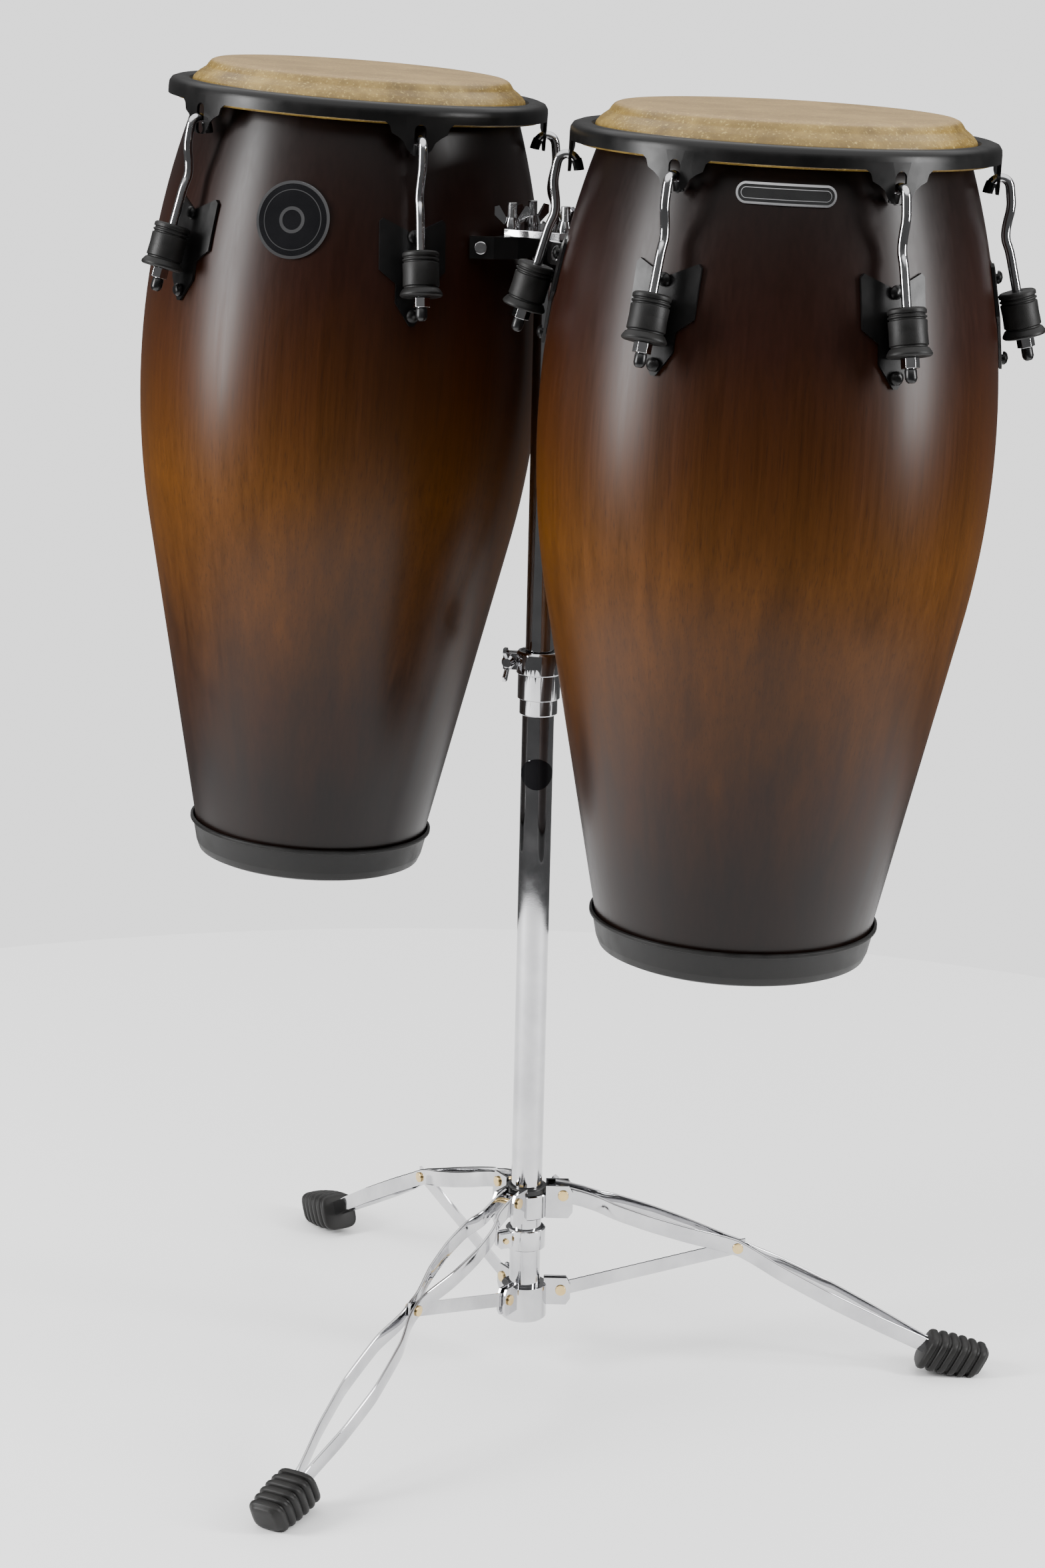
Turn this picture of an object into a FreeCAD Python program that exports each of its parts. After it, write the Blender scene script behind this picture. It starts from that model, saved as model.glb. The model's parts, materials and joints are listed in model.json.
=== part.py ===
import FreeCAD, Part
import math
import os
import re

import Sketcher
from FreeCAD import Placement, Rotation, Vector

# A pair of tall barrel drums, 11 and 11 3/4 inch, hung from one folding tripod stand.
# Axes: X runs along the row of drums, -Y faces the audience, Z is up, and the floor is z = 0.
# Heights named *_level on a drum are measured from the bottom of its shell, along its axis.

doc = FreeCAD.newDocument("conga_pair")
dims = doc.addObject("Spreadsheet::Sheet", "dims")

sizes = {
    # the stand's place, so that the origin lies under the middle of the whole object
    "mast_x": -19.37, "mast_y": 91.95,
    # drums: places of the head's centre from the mast, heights and leans
    "drum_height": 711.0, "drum_back": -34.6,
    "quinto_x": -178.7, "quinto_top": 1185.9, "quinto_side_lean": 3.08, "quinto_back_lean": 1.2,
    "conga_x": 248.9, "conga_top": 1171.4, "conga_side_lean": 1.63, "conga_back_lean": 0.42,
    "quinto_belly": 178.3, "quinto_foot": 101.0, "quinto_belly_level": 450.0, "quinto_lugs": 5,
    "conga_belly": 190.8, "conga_foot": 114.5, "conga_belly_level": 445.0, "conga_lugs": 6,
    "quinto_rim": 166.9, "quinto_first_lug": 36.0, "conga_rim": 176.7, "conga_first_lug": 30.0,
    "upper_bend": 720.0, "lower_bend": 740.0, "shell_wall": 11.0, "shell_top": 706.0,
    # head, hoop and rim, as insets from the rim's outer radius
    "head_thick": 2.2, "rim_level": 693.0, "rim_sheet": 2.6, "skirt_level": 678.0,
    "ear_level": 651.0,
    "slot_half_width": 5.2, "slot_top_level": 677.0, "slot_low_level": 656.0, "hoop_wire": 3.2,
    # lugs
    "rod_radius": 3.9, "hook_radius": 8.0, "hook_level": 657.0, "barrel_level": 573.5,
    "barrel_length": 38.0, "barrel_radius": 15.6, "barrel_flare": 18.2, "barrel_lean": 14.7,
    "barrel_out": 22.6, "nut_half_flat": 6.5, "nut_height": 8.6, "cap_radius": 4.9,
    "cap_height": 11.0, "plate_top_level": 598.0, "plate_low_level": 508.0,
    "plate_half_width": 29.5, "plate_sheet": 2.4, "plate_gap": 0.7,
    "bolt_radius": 3.0, "bolt_head": 5.6, "bolt_dome": 4.6,
    "upper_bolt_level": 584.0, "lower_bolt_level": 518.0, "bolt_hole": 3.2,
    # rubber ring under the shell, badge
    "ring_level": 27.0, "ring_wall": 3.2, "ring_lip": 5.2, "ring_sole": 5.0,
    "badge_radius": 32.5, "badge_sheet": 1.2, "badge_level": 590.0,
    "name_level": 655.0, "name_half_width": 40.0, "name_half_height": 8.5,
    # crossbar, brackets and tilter
    "bar_low": 1053.0, "bar_sheet": 6.0, "bar_left": -11.0, "bar_right": 61.0,
    "bar_front": -68.0, "bar_back": 12.0, "band_height": 19.0, "band_sheet": 5.0,
    "stud_left": -3.0, "stud_right": 51.0, "stud_front": -56.0, "stud_rear": -24.0,
    "stud_radius": 4.0, "stud_top": 1081.0, "wing_radius": 7.0, "wing_span": 19.0,
    "tilt_level": 1030.0, "tilt_pin": 4.0, "cheek_gap": 8.0, "cheek_sheet": 4.0,
    "running_gap": 0.05,
    # tubes and height clamp
    "upper_tube": 12.7, "lower_tube": 14.3, "tube_wall": 1.5, "mast_top": 1010.0,
    "mast_foot": 420.0, "tube_top": 660.0, "tube_foot": 50.0, "slide_gap": 0.15,
    "clamp_low": 624.0, "clamp_mid": 639.0, "clamp_top": 682.0,
    "sleeve_radius": 17.0, "collar_radius": 19.0, "clamp_turn": 212.5,
    # tripod: pivots as radius from the mast and height
    "leg_turn": 33.0, "pivot_out": 34.0, "upper_pivot": 171.1, "lower_pivot": 75.3,
    "knee_out": 197.6, "knee_level": 120.5, "toe_out": 402.0, "toe_level": 9.0,
    "strap_half_height": 8.0, "strap_sheet": 2.5, "gap_hub": 7.0, "gap_wide": 16.0,
    "gap_knee": 3.4, "gap_toe": 4.0, "pin_radius": 2.6, "rivet_head": 5.0,
    "hub_low": 149.0, "hub_high": 172.0, "hub_radius": 21.0, "low_hub_low": 53.0,
    "low_hub_high": 81.0, "hub_arm": 43.0, "hub_ring_top": 178.0,
    "lock_low": 117.0, "lock_high": 137.0, "lock_radius": 18.5,
    "foot_half_width": 19.0,
}


def fillSheet():
    for row, (name, number) in enumerate(sizes.items(), 1):
        dims.set("A%d" % row, name)
        dims.set("B%d" % row, str(number))
        dims.setAlias("B%d" % row, name)
    doc.recompute()


def bound(expression):
    """Names with an underscore in an expression are cells of the sheet."""
    return re.sub(r"\b[a-z]+(?:_[a-z]+)+\b", lambda found: "dims." + found.group(), str(expression))


def number(expression):
    answer = dims.evalExpression(bound(expression))
    return float(getattr(answer, "Value", answer))


def bind(thing, path, expression):
    thing.setExpression(path, bound(expression))


# ---------------------------------------------------------------- building helpers

def newBody(label):
    body = doc.addObject("PartDesign::Body", label)
    body.Label = label
    return body


def originPart(body, role):
    return [part for part in body.Origin.OriginFeatures if part.Role == role][0]


def newSketch(body, role, at=(0, 0, 0), turn=None):
    """A sketch on one of the body's own planes, moved and turned within that plane's frame."""
    sketch = body.newObject("Sketcher::SketchObject", body.Name + "_sketch")
    sketch.AttachmentSupport = [(originPart(body, role), "")]
    sketch.MapMode = "FlatFace"
    if turn:
        sketch.AttachmentOffset = Placement(Vector(), Rotation(Vector(*turn[0]), number(turn[1])))
        bind(sketch, "AttachmentOffset.Rotation.Angle", turn[1])
    for letter, place in zip("xyz", at):
        bind(sketch, "AttachmentOffset.Base." + letter, place)
    return sketch


def fixPoint(sketch, shape, end, x, y):
    for kind, expression in (("DistanceX", x), ("DistanceY", y)):
        made = sketch.addConstraint(Sketcher.Constraint(kind, -1, 1, shape, end, number(expression)))
        bind(sketch, "Constraints[%d]" % made, expression)


def polygon(sketch, points):
    first = sketch.GeometryCount
    count = len(points)
    corners = [Vector(number(x), number(y), 0) for x, y in points]
    for index in range(count):
        sketch.addGeometry(Part.LineSegment(corners[index], corners[(index + 1) % count]), False)
    for index, (x, y) in enumerate(points):
        after = (index - 1) % count
        sketch.addConstraint(Sketcher.Constraint("Coincident", first + after, 2, first + index, 1))
        fixPoint(sketch, first + index, 1, x, y)


def rectangle(sketch, left, low, right, high):
    polygon(sketch, [(left, low), (right, low), (right, high), (left, high)])


def circle(sketch, x, y, radius):
    made = sketch.addGeometry(
        Part.Circle(Vector(number(x), number(y), 0), Vector(0, 0, 1), number(radius)), False)
    fixPoint(sketch, made, 3, x, y)
    size = sketch.addConstraint(Sketcher.Constraint("Radius", made, number(radius)))
    bind(sketch, "Constraints[%d]" % size, radius)


def pad(body, sketch, length, midplane=False, reverse=False):
    made = body.newObject("PartDesign::Pad", body.Name + "_pad")
    made.Profile = sketch
    bind(made, "Length", length)
    made.Midplane = midplane
    made.Reversed = reverse
    return made


def cutter(body, kind, sketch, midplane=False):
    """Makes a Pocket or Groove and checks that it takes material away."""
    doc.recompute()
    before = body.Shape.Volume
    made = body.newObject("PartDesign::" + kind, body.Name + "_cut")
    made.Profile = sketch
    if kind == "Pocket":
        made.Type = "ThroughAll"
        made.Reversed = not midplane
        made.Midplane = midplane
    else:
        made.ReferenceAxis = (sketch, ["V_Axis"])
        made.Angle = 360
    doc.recompute()
    assert body.Shape.Volume < before - 0.01, "a cut in %s removes nothing" % body.Label
    return made


def spin(body, sketch):
    made = body.newObject("PartDesign::Revolution", body.Name + "_turned")
    made.Profile = sketch
    made.ReferenceAxis = (sketch, ["V_Axis"])
    made.Angle = 360
    return made


def ring(body, features, count):
    made = body.newObject("PartDesign::PolarPattern", body.Name + "_ring")
    made.Originals = features
    made.Axis = (originPart(body, "Z_Axis"), [""])
    made.Angle = 360
    bind(made, "Occurrences", count)
    body.Tip = made
    return made


nodes = []


def place(body, placement):
    body.Placement = placement
    nodes.append(body)
    return body


def standPlace(turn=0.0):
    return Placement(Vector(number("mast_x"), number("mast_y"), 0), Rotation(Vector(0, 0, 1), turn))


def drumPlace(drum, turned=0.0):
    """Head centre from the mast, then the drum hangs down its leaning axis."""
    side = math.radians(number(drum + "_side_lean"))
    back = math.radians(number(drum + "_back_lean"))
    axis = Vector(math.tan(side), math.tan(back), 1).normalize()
    top = Vector(number(drum + "_x + mast_x"), number("drum_back + mast_y"), number(drum + "_top"))
    lean = Rotation(Vector(0, 0, 1), axis)
    turn = Rotation(Vector(0, 0, 1), turned)
    return Placement(top - axis * number("drum_height"), lean * turn)


# ---------------------------------------------------------------- drums

def wallAt(drum, level, inset="0"):
    """Expression for the shell's radius at a level: two arcs tangent at the belly."""
    return ("(%s_belly - upper_bend + sqrt(upper_bend^2 - (%s - %s_belly_level)^2) - (%s))"
            % (drum, level, drum, inset))


def barrelOutline(sketch, drum, inset, top, low):
    """Straight foot, then two arcs that meet at the belly; the inner side is the drum's axis."""
    belly, level = number(drum + "_belly") - inset, number(drum + "_belly_level")
    under, over = number("lower_bend") - inset, number("upper_bend") - inset
    foot = Vector(number(drum + "_foot") - inset, low, 0)
    lowCentre = Vector(belly - under, level, 0)
    highCentre = Vector(belly - over, level, 0)
    gap = foot - lowCentre
    swing = math.acos(under / gap.Length)
    touch = math.atan2(gap.y, gap.x) + swing
    meet = lowCentre + Vector(math.cos(touch), math.sin(touch), 0) * under
    crown = Vector(highCentre.x + math.sqrt(over ** 2 - (top - level) ** 2), top, 0)
    lift = math.asin((top - level) / over)
    zAxis = Vector(0, 0, 1)
    shapes = [Part.LineSegment(Vector(0, low, 0), foot), Part.LineSegment(foot, meet),
              Part.ArcOfCircle(Part.Circle(lowCentre, zAxis, under), touch, 0.0),
              Part.ArcOfCircle(Part.Circle(highCentre, zAxis, over), 0.0, lift),
              Part.LineSegment(crown, Vector(0, top, 0)),
              Part.LineSegment(Vector(0, top, 0), Vector(0, low, 0))]
    for shape in shapes:
        sketch.addGeometry(shape, False)
    joins = [(0, 2, 1, 1), (2, 2, 3, 1), (3, 2, 4, 1), (4, 2, 5, 1), (5, 2, 0, 1)]
    for join in joins:
        sketch.addConstraint(Sketcher.Constraint("Coincident", *join))
    sketch.addConstraint(Sketcher.Constraint("Tangent", 1, 2, 2, 1))
    fixPoint(sketch, 0, 1, "0", low)
    fixPoint(sketch, 0, 2, "%s_foot - %s" % (drum, inset), low)
    fixPoint(sketch, 2, 2, "%s_belly - %s" % (drum, inset), drum + "_belly_level")
    fixPoint(sketch, 2, 3, "%s_belly - lower_bend" % drum, drum + "_belly_level")
    fixPoint(sketch, 3, 3, "%s_belly - upper_bend" % drum, drum + "_belly_level")
    fixPoint(sketch, 4, 2, "0", top)
    sketch.addConstraint(Sketcher.Constraint("Horizontal", 4))


def shell(drum):
    body = newBody(drum + "_shell")
    outer = newSketch(body, "XZ_Plane")
    barrelOutline(outer, drum, 0.0, number("shell_top"), 0.0)
    spin(body, outer)
    inner = newSketch(body, "XZ_Plane")
    barrelOutline(inner, drum, number("shell_wall"), number("shell_top + 5"), -5.0)
    cutter(body, "Groove", inner)
    holes = newSketch(body, "YZ_Plane")
    circle(holes, "0", "upper_bolt_level", "bolt_hole")
    circle(holes, "0", "lower_bolt_level", "bolt_hole")
    drilled = cutter(body, "Pocket", holes)
    ring(body, [drilled], drum + "_lugs")
    return place(body, drumPlace(drum, number(drum + "_first_lug")))


def head(drum):
    """Skin pulled over the shell's edge, down a sloped collar and round the flesh hoop."""
    body = newBody(drum + "_head")
    sketch = newSketch(body, "XZ_Plane")
    edge = wallAt(drum, "shell_top")
    rim = drum + "_rim"
    upper = [("0", "drum_height"), (edge + " - 6", "drum_height"),
             (edge + " - 0.5", "drum_height - 1.2"), (edge + " + 2.6", "drum_height - 5"),
             (rim + " - 20.9", "rim_level"), (rim + " - 19.9", "rim_level - 6"),
             (rim + " - 15", "rim_level - 11.5"), (rim + " - 13.8", "rim_level - 14.6"),
             (rim + " - 7.6", "rim_level - 14.8"), (rim + " - 6", "rim_level - 12")]
    lower = [(rim + " - 4.2", "rim_level - 12"), (rim + " - 4.4", "rim_level - 16"),
             (rim + " - 7.5", "rim_level - 17.4"), (rim + " - 15", "rim_level - 17"),
             (rim + " - 17.4", "rim_level - 12.5"), (rim + " - 22", "rim_level - 6.6"),
             (edge + " + 0.6", "shell_top - 1"),
             (edge + " + 0.2", "drum_height - head_thick - 1.5"),
             (edge + " - 2", "drum_height - head_thick"), ("0", "drum_height - head_thick")]
    polygon(sketch, upper + lower)
    spin(body, sketch)
    return place(body, drumPlace(drum))


def fleshHoop(drum):
    body = newBody(drum + "_flesh_hoop")
    sketch = newSketch(body, "XZ_Plane")
    circle(sketch, drum + "_rim - 10.2", "rim_level - 10.8", "hoop_wire")
    spin(body, sketch)
    return place(body, drumPlace(drum))


def roundSlot(sketch, width, low, high):
    """An upright slot with round ends, centred on the sketch's own Y axis."""
    half, bottom, top = number(width), number(low), number(high)
    zAxis = Vector(0, 0, 1)
    shapes = [Part.LineSegment(Vector(half, bottom, 0), Vector(half, top, 0)),
              Part.ArcOfCircle(Part.Circle(Vector(0, top, 0), zAxis, half), 0.0, math.pi),
              Part.LineSegment(Vector(-half, top, 0), Vector(-half, bottom, 0)),
              Part.ArcOfCircle(Part.Circle(Vector(0, bottom, 0), zAxis, half), math.pi, 2 * math.pi)]
    first = sketch.GeometryCount
    for shape in shapes:
        sketch.addGeometry(shape, False)
    for index in range(4):
        after = first + (index + 1) % 4
        sketch.addConstraint(Sketcher.Constraint("Tangent", first + index, 2, after, 1))
    fixPoint(sketch, first, 1, width, low)
    fixPoint(sketch, first + 1, 3, "0", high)


def rim(drum):
    """Rolled ring with a skirt, cut back between scalloped ears that each have a slot."""
    body = newBody(drum + "_rim")
    sketch = newSketch(body, "XZ_Plane")
    out = drum + "_rim"
    polygon(sketch, [
        (out + " - 19.6", "rim_level - 4"), (out + " - 17.4", "rim_level - 0.9"),
        (out + " - 13.5", "rim_level"), (out + " - 7", "rim_level"),
        (out + " - 2.6", "rim_level - 1.6"), (out + " - 0.4", "rim_level - 5"),
        (out, "rim_level - 9"), (out, "ear_level"), (out + " - rim_sheet", "ear_level"),
        (out + " - rim_sheet", "rim_level - 7"), (out + " - 5.2", "rim_level - 4.6"),
        (out + " - 10", "rim_level - 3.6"), (out + " - 15", "rim_level - 3.8"),
        (out + " - 17.6", "rim_level - 5.4")])
    spin(body, sketch)
    window = newSketch(body, "YZ_Plane", turn=((0, 1, 0), "180 / %s_lugs" % drum))
    steps = [("31", "skirt_level"), ("27", "skirt_level - 3"), ("25", "skirt_level - 9"),
             ("19", "skirt_level - 12"), ("14", "skirt_level - 16"), ("11", "skirt_level - 22"),
             ("6", "ear_level + 1"), ("3", "ear_level - 2")]
    edge = "{0} * sin(180deg / {1}_lugs - ({2}) / {0} * 1rad)"
    right = [(edge.format(out, drum, width), level) for width, level in steps]
    left = [("-1 * " + x, level) for x, level in reversed(right)]
    polygon(window, right + left)
    opened = cutter(body, "Pocket", window)
    ring(body, [opened], drum + "_lugs")
    slot = newSketch(body, "YZ_Plane")
    roundSlot(slot, "slot_half_width", "slot_low_level", "slot_top_level - slot_half_width")
    slotted = cutter(body, "Pocket", slot)
    ring(body, [slotted], drum + "_lugs")
    return place(body, drumPlace(drum, number(drum + "_first_lug")))


def tensionRods(drum):
    """J hooks: over the ear from outside, an S bend, then straight down through the barrel."""
    body = newBody(drum + "_tension_rods")
    ear = number(drum + "_rim - rim_sheet / 2")
    level, hook = number("hook_level"), number("hook_radius")
    lean = math.radians(number("barrel_lean"))
    top = Vector(ear + number("barrel_out"), 0, number("barrel_level"))
    down = Vector(math.sin(lean), 0, -math.cos(lean))
    route = [Vector(ear - 8, 0, level - 3.0)]
    centre = Vector(ear + 2.2, 0, level - 0.5)
    for degrees in (150, 120, 90, 60, 30, 0):
        angle = math.radians(degrees)
        route.append(centre + Vector(math.cos(angle), 0, math.sin(angle)) * hook)
    route += [Vector(ear + 12.5, 0, 641), Vector(ear + 9.6, 0, 618), top - down * 34.0,
              top + down * number("barrel_length + nut_height + 6")]
    path = Part.makePolygon(route)
    profile = Part.Wire(Part.makeCircle(number("rod_radius"), route[0], route[1] - route[0]))
    rod = Part.Wire(path.Edges).makePipeShell([profile], True, True, 2)
    return repeatRound(drum, drum + "_tension_rods", rod, body)


def repeatRound(drum, label, solid, body):
    """Part::Feature with one copy of a solid for each lug."""
    doc.removeObject(body.Name)
    feature = doc.addObject("Part::Feature", label)
    feature.Label = label
    count = int(number(drum + "_lugs"))
    copies = []
    for index in range(count):
        copy = solid.copy()
        copy.rotate(Vector(), Vector(0, 0, 1), index * 360.0 / count)
        copies.append(copy)
    feature.Shape = Part.makeCompound(copies)
    return place(feature, drumPlace(drum, number(drum + "_first_lug")))


def lugPlates(drum):
    """Sheet bands that hug the shell, cut to a W with two raised wings and a pointed foot."""
    body = newBody(drum + "_lug_plates")
    band = newSketch(body, "XZ_Plane")
    levels = ["plate_low_level", "(plate_low_level + plate_top_level) / 2", "plate_top_level"]
    near = [(wallAt(drum, level, "0 - plate_gap"), level) for level in levels]
    far = [(wallAt(drum, level, "0 - plate_gap - plate_sheet"), level) for level in reversed(levels)]
    polygon(band, near + far)
    spin(body, band)
    outline = newSketch(body, "YZ_Plane")
    edge = "{0}_belly * sin(180deg / {0}_lugs)".format(drum)
    rectangle(outline, "-1 * %s - 8" % edge, "plate_low_level - 5", edge + " + 8",
              "plate_top_level + 5")
    half = [("0", "plate_top_level - 12"), ("plate_half_width - 3", "plate_top_level"),
            ("plate_half_width", "plate_top_level - 3"),
            ("plate_half_width", "plate_low_level + 47"),
            ("15", "plate_low_level + 36"), ("15", "plate_low_level + 20"),
            ("2", "plate_low_level + 1")]
    mirrored = [("-1 * (%s)" % x, level) for x, level in reversed(half[1:])]
    polygon(outline, half + mirrored)
    cut = cutter(body, "Pocket", outline)
    ring(body, [cut], drum + "_lugs")
    holes = newSketch(body, "YZ_Plane")
    circle(holes, "0", "upper_bolt_level", "bolt_hole")
    circle(holes, "0", "lower_bolt_level", "bolt_hole")
    drilled = cutter(body, "Pocket", holes)
    ring(body, [drilled], drum + "_lugs")
    return place(body, drumPlace(drum, number(drum + "_first_lug")))


def lugSketch(body, drum):
    """A sketch whose Y axis is the leaning axis of the barrel, zero at the barrel's top."""
    out = "%s_rim - rim_sheet / 2 + barrel_out" % drum
    return newSketch(body, "XZ_Plane", at=(out, "barrel_level", "0"),
                     turn=((0, 0, 1), "barrel_lean"))


def turnedLugPart(drum, name, profile):
    body = newBody("%s_%s" % (drum, name))
    sketch = lugSketch(body, drum)
    polygon(sketch, profile)
    turned = spin(body, sketch)
    ring(body, [turned], drum + "_lugs")
    return place(body, drumPlace(drum, number(drum + "_first_lug")))


def lugBarrels(drum):
    bore = "rod_radius + 0.3"
    side = "barrel_radius"
    grooves = []
    for level in ("-5", "-8"):
        grooves += [(side, level), (side + " - 0.9", "%s - 0.5" % level),
                    (side + " - 0.9", "%s - 1" % level), (side, "%s - 1.5" % level)]
    low = "-1 * barrel_length"
    return turnedLugPart(drum, "lug_barrels", [
        (bore, "0"), (side + " - 2", "0"), (side, "-2")] + grooves + [
        (side, low + " + 8"), (side + " - 0.9", low + " + 7.4"), (side, low + " + 6.8"),
        ("barrel_flare", low + " + 2.5"), ("barrel_flare", low + " + 1"),
        ("barrel_flare - 1.5", low), (bore, low)])


def tuningNuts(drum):
    """Hexagon nuts under the barrels, on the rod's thread."""
    body = newBody(drum + "_tuning_nuts")
    out = "%s_rim - rim_sheet / 2 + barrel_out" % drum
    reach = "(barrel_length + 0.2)"
    sketch = newSketch(body, "XY_Plane", turn=((0, 1, 0), "-1 * barrel_lean"),
                       at=("%s + %s * sin(barrel_lean * 1deg)" % (out, reach), "0",
                           "barrel_level - %s * cos(barrel_lean * 1deg)" % reach))
    corner = "nut_half_flat / cos(30deg)"
    polygon(sketch, [("%s * cos(%ddeg)" % (corner, turn), "%s * sin(%ddeg)" % (corner, turn))
                     for turn in range(0, 360, 60)])
    circle(sketch, "0", "0", "rod_radius + 0.1")
    nut = pad(body, sketch, "nut_height", reverse=True)
    ring(body, [nut], drum + "_lugs")
    return place(body, drumPlace(drum, number(drum + "_first_lug")))


def rodCaps(drum):
    top = "-1 * (barrel_length + nut_height + 0.6)"
    low = top + " - cap_height"
    return turnedLugPart(drum, "rod_caps", [
        ("rod_radius + 0.1", top), ("cap_radius", top), ("cap_radius", low + " + 3"),
        ("cap_radius - 1.5", low + " + 0.6"), ("0", low), ("0", low + " + 5"),
        ("rod_radius + 0.1", low + " + 5")])


def lugBolts(drum):
    """Domed bolts through each plate and the shell, with a washer and nut inside."""
    body = newBody(drum + "_lug_bolts")
    made = []
    for level in ("upper_bolt_level", "lower_bolt_level"):
        face = wallAt(drum, level, "0 - plate_gap - plate_sheet - 0.9")
        inner = wallAt(drum, level, "shell_wall + 2.4")
        sketch = newSketch(body, "XY_Plane", at=("0", "0", level))
        polygon(sketch, [(inner + " - 7", "0"), (inner + " - 7", "bolt_radius"),
                         (inner + " - 4", "bolt_radius"), (inner + " - 4", "5.2"),
                         (inner, "5.2"), (inner, "bolt_radius"), (face, "bolt_radius"),
                         (face, "bolt_head"), (face + " + 1.6", "bolt_head"),
                         (face + " + 3.6", "bolt_head - 1.8"), (face + " + bolt_dome", "0")])
        turned = body.newObject("PartDesign::Revolution", body.Name + "_turned")
        turned.Profile = sketch
        turned.ReferenceAxis = (sketch, ["H_Axis"])
        turned.Angle = 360
        made.append(turned)
        doc.recompute()
    ring(body, made, drum + "_lugs")
    return place(body, drumPlace(drum, number(drum + "_first_lug")))


def baseRing(drum):
    """Rubber boot round the bottom edge, with a thin lip at its top."""
    body = newBody(drum + "_base_ring")
    sketch = newSketch(body, "XZ_Plane")
    foot = drum + "_foot"
    slope = "0.17"
    outer = [(foot + " - 12", "-1 * ring_sole + 0"), (foot + " - 5", "-1 * ring_sole"),
             (foot + " + 0.5", "-1 * ring_sole + 3"), (foot + " + ring_wall", "4"),
             ("{0} + ring_wall + {1} * (ring_level - 4)".format(foot, slope), "ring_level - 4"),
             ("{0} + ring_lip + {1} * ring_level".format(foot, slope), "ring_level - 3"),
             ("{0} + ring_lip + {1} * ring_level".format(foot, slope), "ring_level - 1"),
             ("{0} + ring_wall + {1} * ring_level".format(foot, slope), "ring_level")]
    inner = [("{0} + 0.6 + 0.25 * ring_level".format(foot), "ring_level"),
             (foot + " + 0.6", "-0.3"), (foot + " - 12", "-0.3")]
    polygon(sketch, outer + inner)
    spin(body, sketch)
    return place(body, drumPlace(drum))


def badge(drum, round_badge):
    """Plain plate on the shell: a disc on one drum, a long plate on the other."""
    label = drum + ("_round_badge" if round_badge else "_name_plate")
    level = "badge_level" if round_badge else "name_level"
    reach = "badge_radius" if round_badge else "name_half_height"
    body = newBody(label)
    band = newSketch(body, "XZ_Plane")
    levels = ["%s - %s" % (level, reach), level, "%s + %s" % (level, reach)]
    near = [(wallAt(drum, one, "0 - plate_gap"), one) for one in levels]
    far = [(wallAt(drum, one, "0 - plate_gap - badge_sheet"), one) for one in reversed(levels)]
    polygon(band, near + far)
    spin(body, band)
    outline = newSketch(body, "YZ_Plane")
    drumSide = drum + "_belly + 10"
    rectangle(outline, "-1 * (%s)" % drumSide, "%s - %s - 5" % (level, reach), drumSide,
              "%s + %s + 5" % (level, reach))
    if round_badge:
        circle(outline, "0", level, "badge_radius - 0.01")
    else:
        wide, high = "name_half_width", "name_half_height"
        corners = [(wide + " - 4", "%s - %s + 0.01" % (level, high)), (wide, "%s - 3" % level),
                   (wide, "%s + 3" % level), (wide + " - 4", "%s + %s - 0.01" % (level, high))]
        mirrored = [("-1 * (%s)" % x, y) for x, y in reversed(corners)]
        polygon(outline, corners + mirrored)
    cutter(body, "Pocket", outline)
    rear = newSketch(body, "XZ_Plane")
    rectangle(rear, "-1 * (%s)" % drumSide, "%s - %s - 5" % (level, reach), "0",
              "%s + %s + 5" % (level, reach))
    cutter(body, "Pocket", rear, midplane=True)
    return body


def drumParts(drum, round_badge, badge_turn):
    shell(drum)
    head(drum)
    fleshHoop(drum)
    rim(drum)
    tensionRods(drum)
    lugPlates(drum)
    lugBarrels(drum)
    tuningNuts(drum)
    rodCaps(drum)
    lugBolts(drum)
    baseRing(drum)
    place(badge(drum, round_badge), drumPlace(drum, badge_turn))


# ---------------------------------------------------------------- crossbar and tilter

def boreAlong(body, role, x, y, radius, at=("0", "0", "0")):
    """A round hole right through the body, both ways from the plane."""
    sketch = newSketch(body, role, at=at)
    circle(sketch, x, y, radius)
    return cutter(body, "Pocket", sketch, midplane=True)


def studPlaces():
    return [("stud_left", "stud_front"), ("stud_left", "stud_rear"),
            ("stud_right", "stud_front"), ("stud_right", "stud_rear")]


def crossbar():
    """Chrome plate over both drum brackets, with two cheeks for the tilter's pin below it."""
    body = newBody("crossbar")
    sketch = newSketch(body, "XY_Plane", at=("0", "0", "bar_low"))
    polygon(sketch, [("bar_left + 8", "bar_front"), ("bar_right - 8", "bar_front"),
                     ("bar_right", "bar_front + 8"), ("bar_right", "bar_back - 8"),
                     ("bar_right - 8", "bar_back"), ("bar_left + 8", "bar_back"),
                     ("bar_left", "bar_back - 8"), ("bar_left", "bar_front + 8")])
    for x, y in studPlaces():
        circle(sketch, x, y, "stud_radius + 0.2")
    pad(body, sketch, "bar_sheet")
    for side in ("cheek_gap", "-1 * (cheek_gap + cheek_sheet)"):
        cheek = newSketch(body, "YZ_Plane", at=("0", "0", side))
        polygon(cheek, [("-7", "tilt_level - 4"), ("-3", "tilt_level - 9"), ("4", "tilt_level - 9"),
                        ("9", "tilt_level - 3"), ("11", "bar_low + 1"), ("-7", "bar_low + 1")])
        pad(body, cheek, "cheek_sheet")
    doc.recompute()
    boreAlong(body, "YZ_Plane", "0", "tilt_level", "tilt_pin + running_gap")
    return place(body, standPlace())


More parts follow.
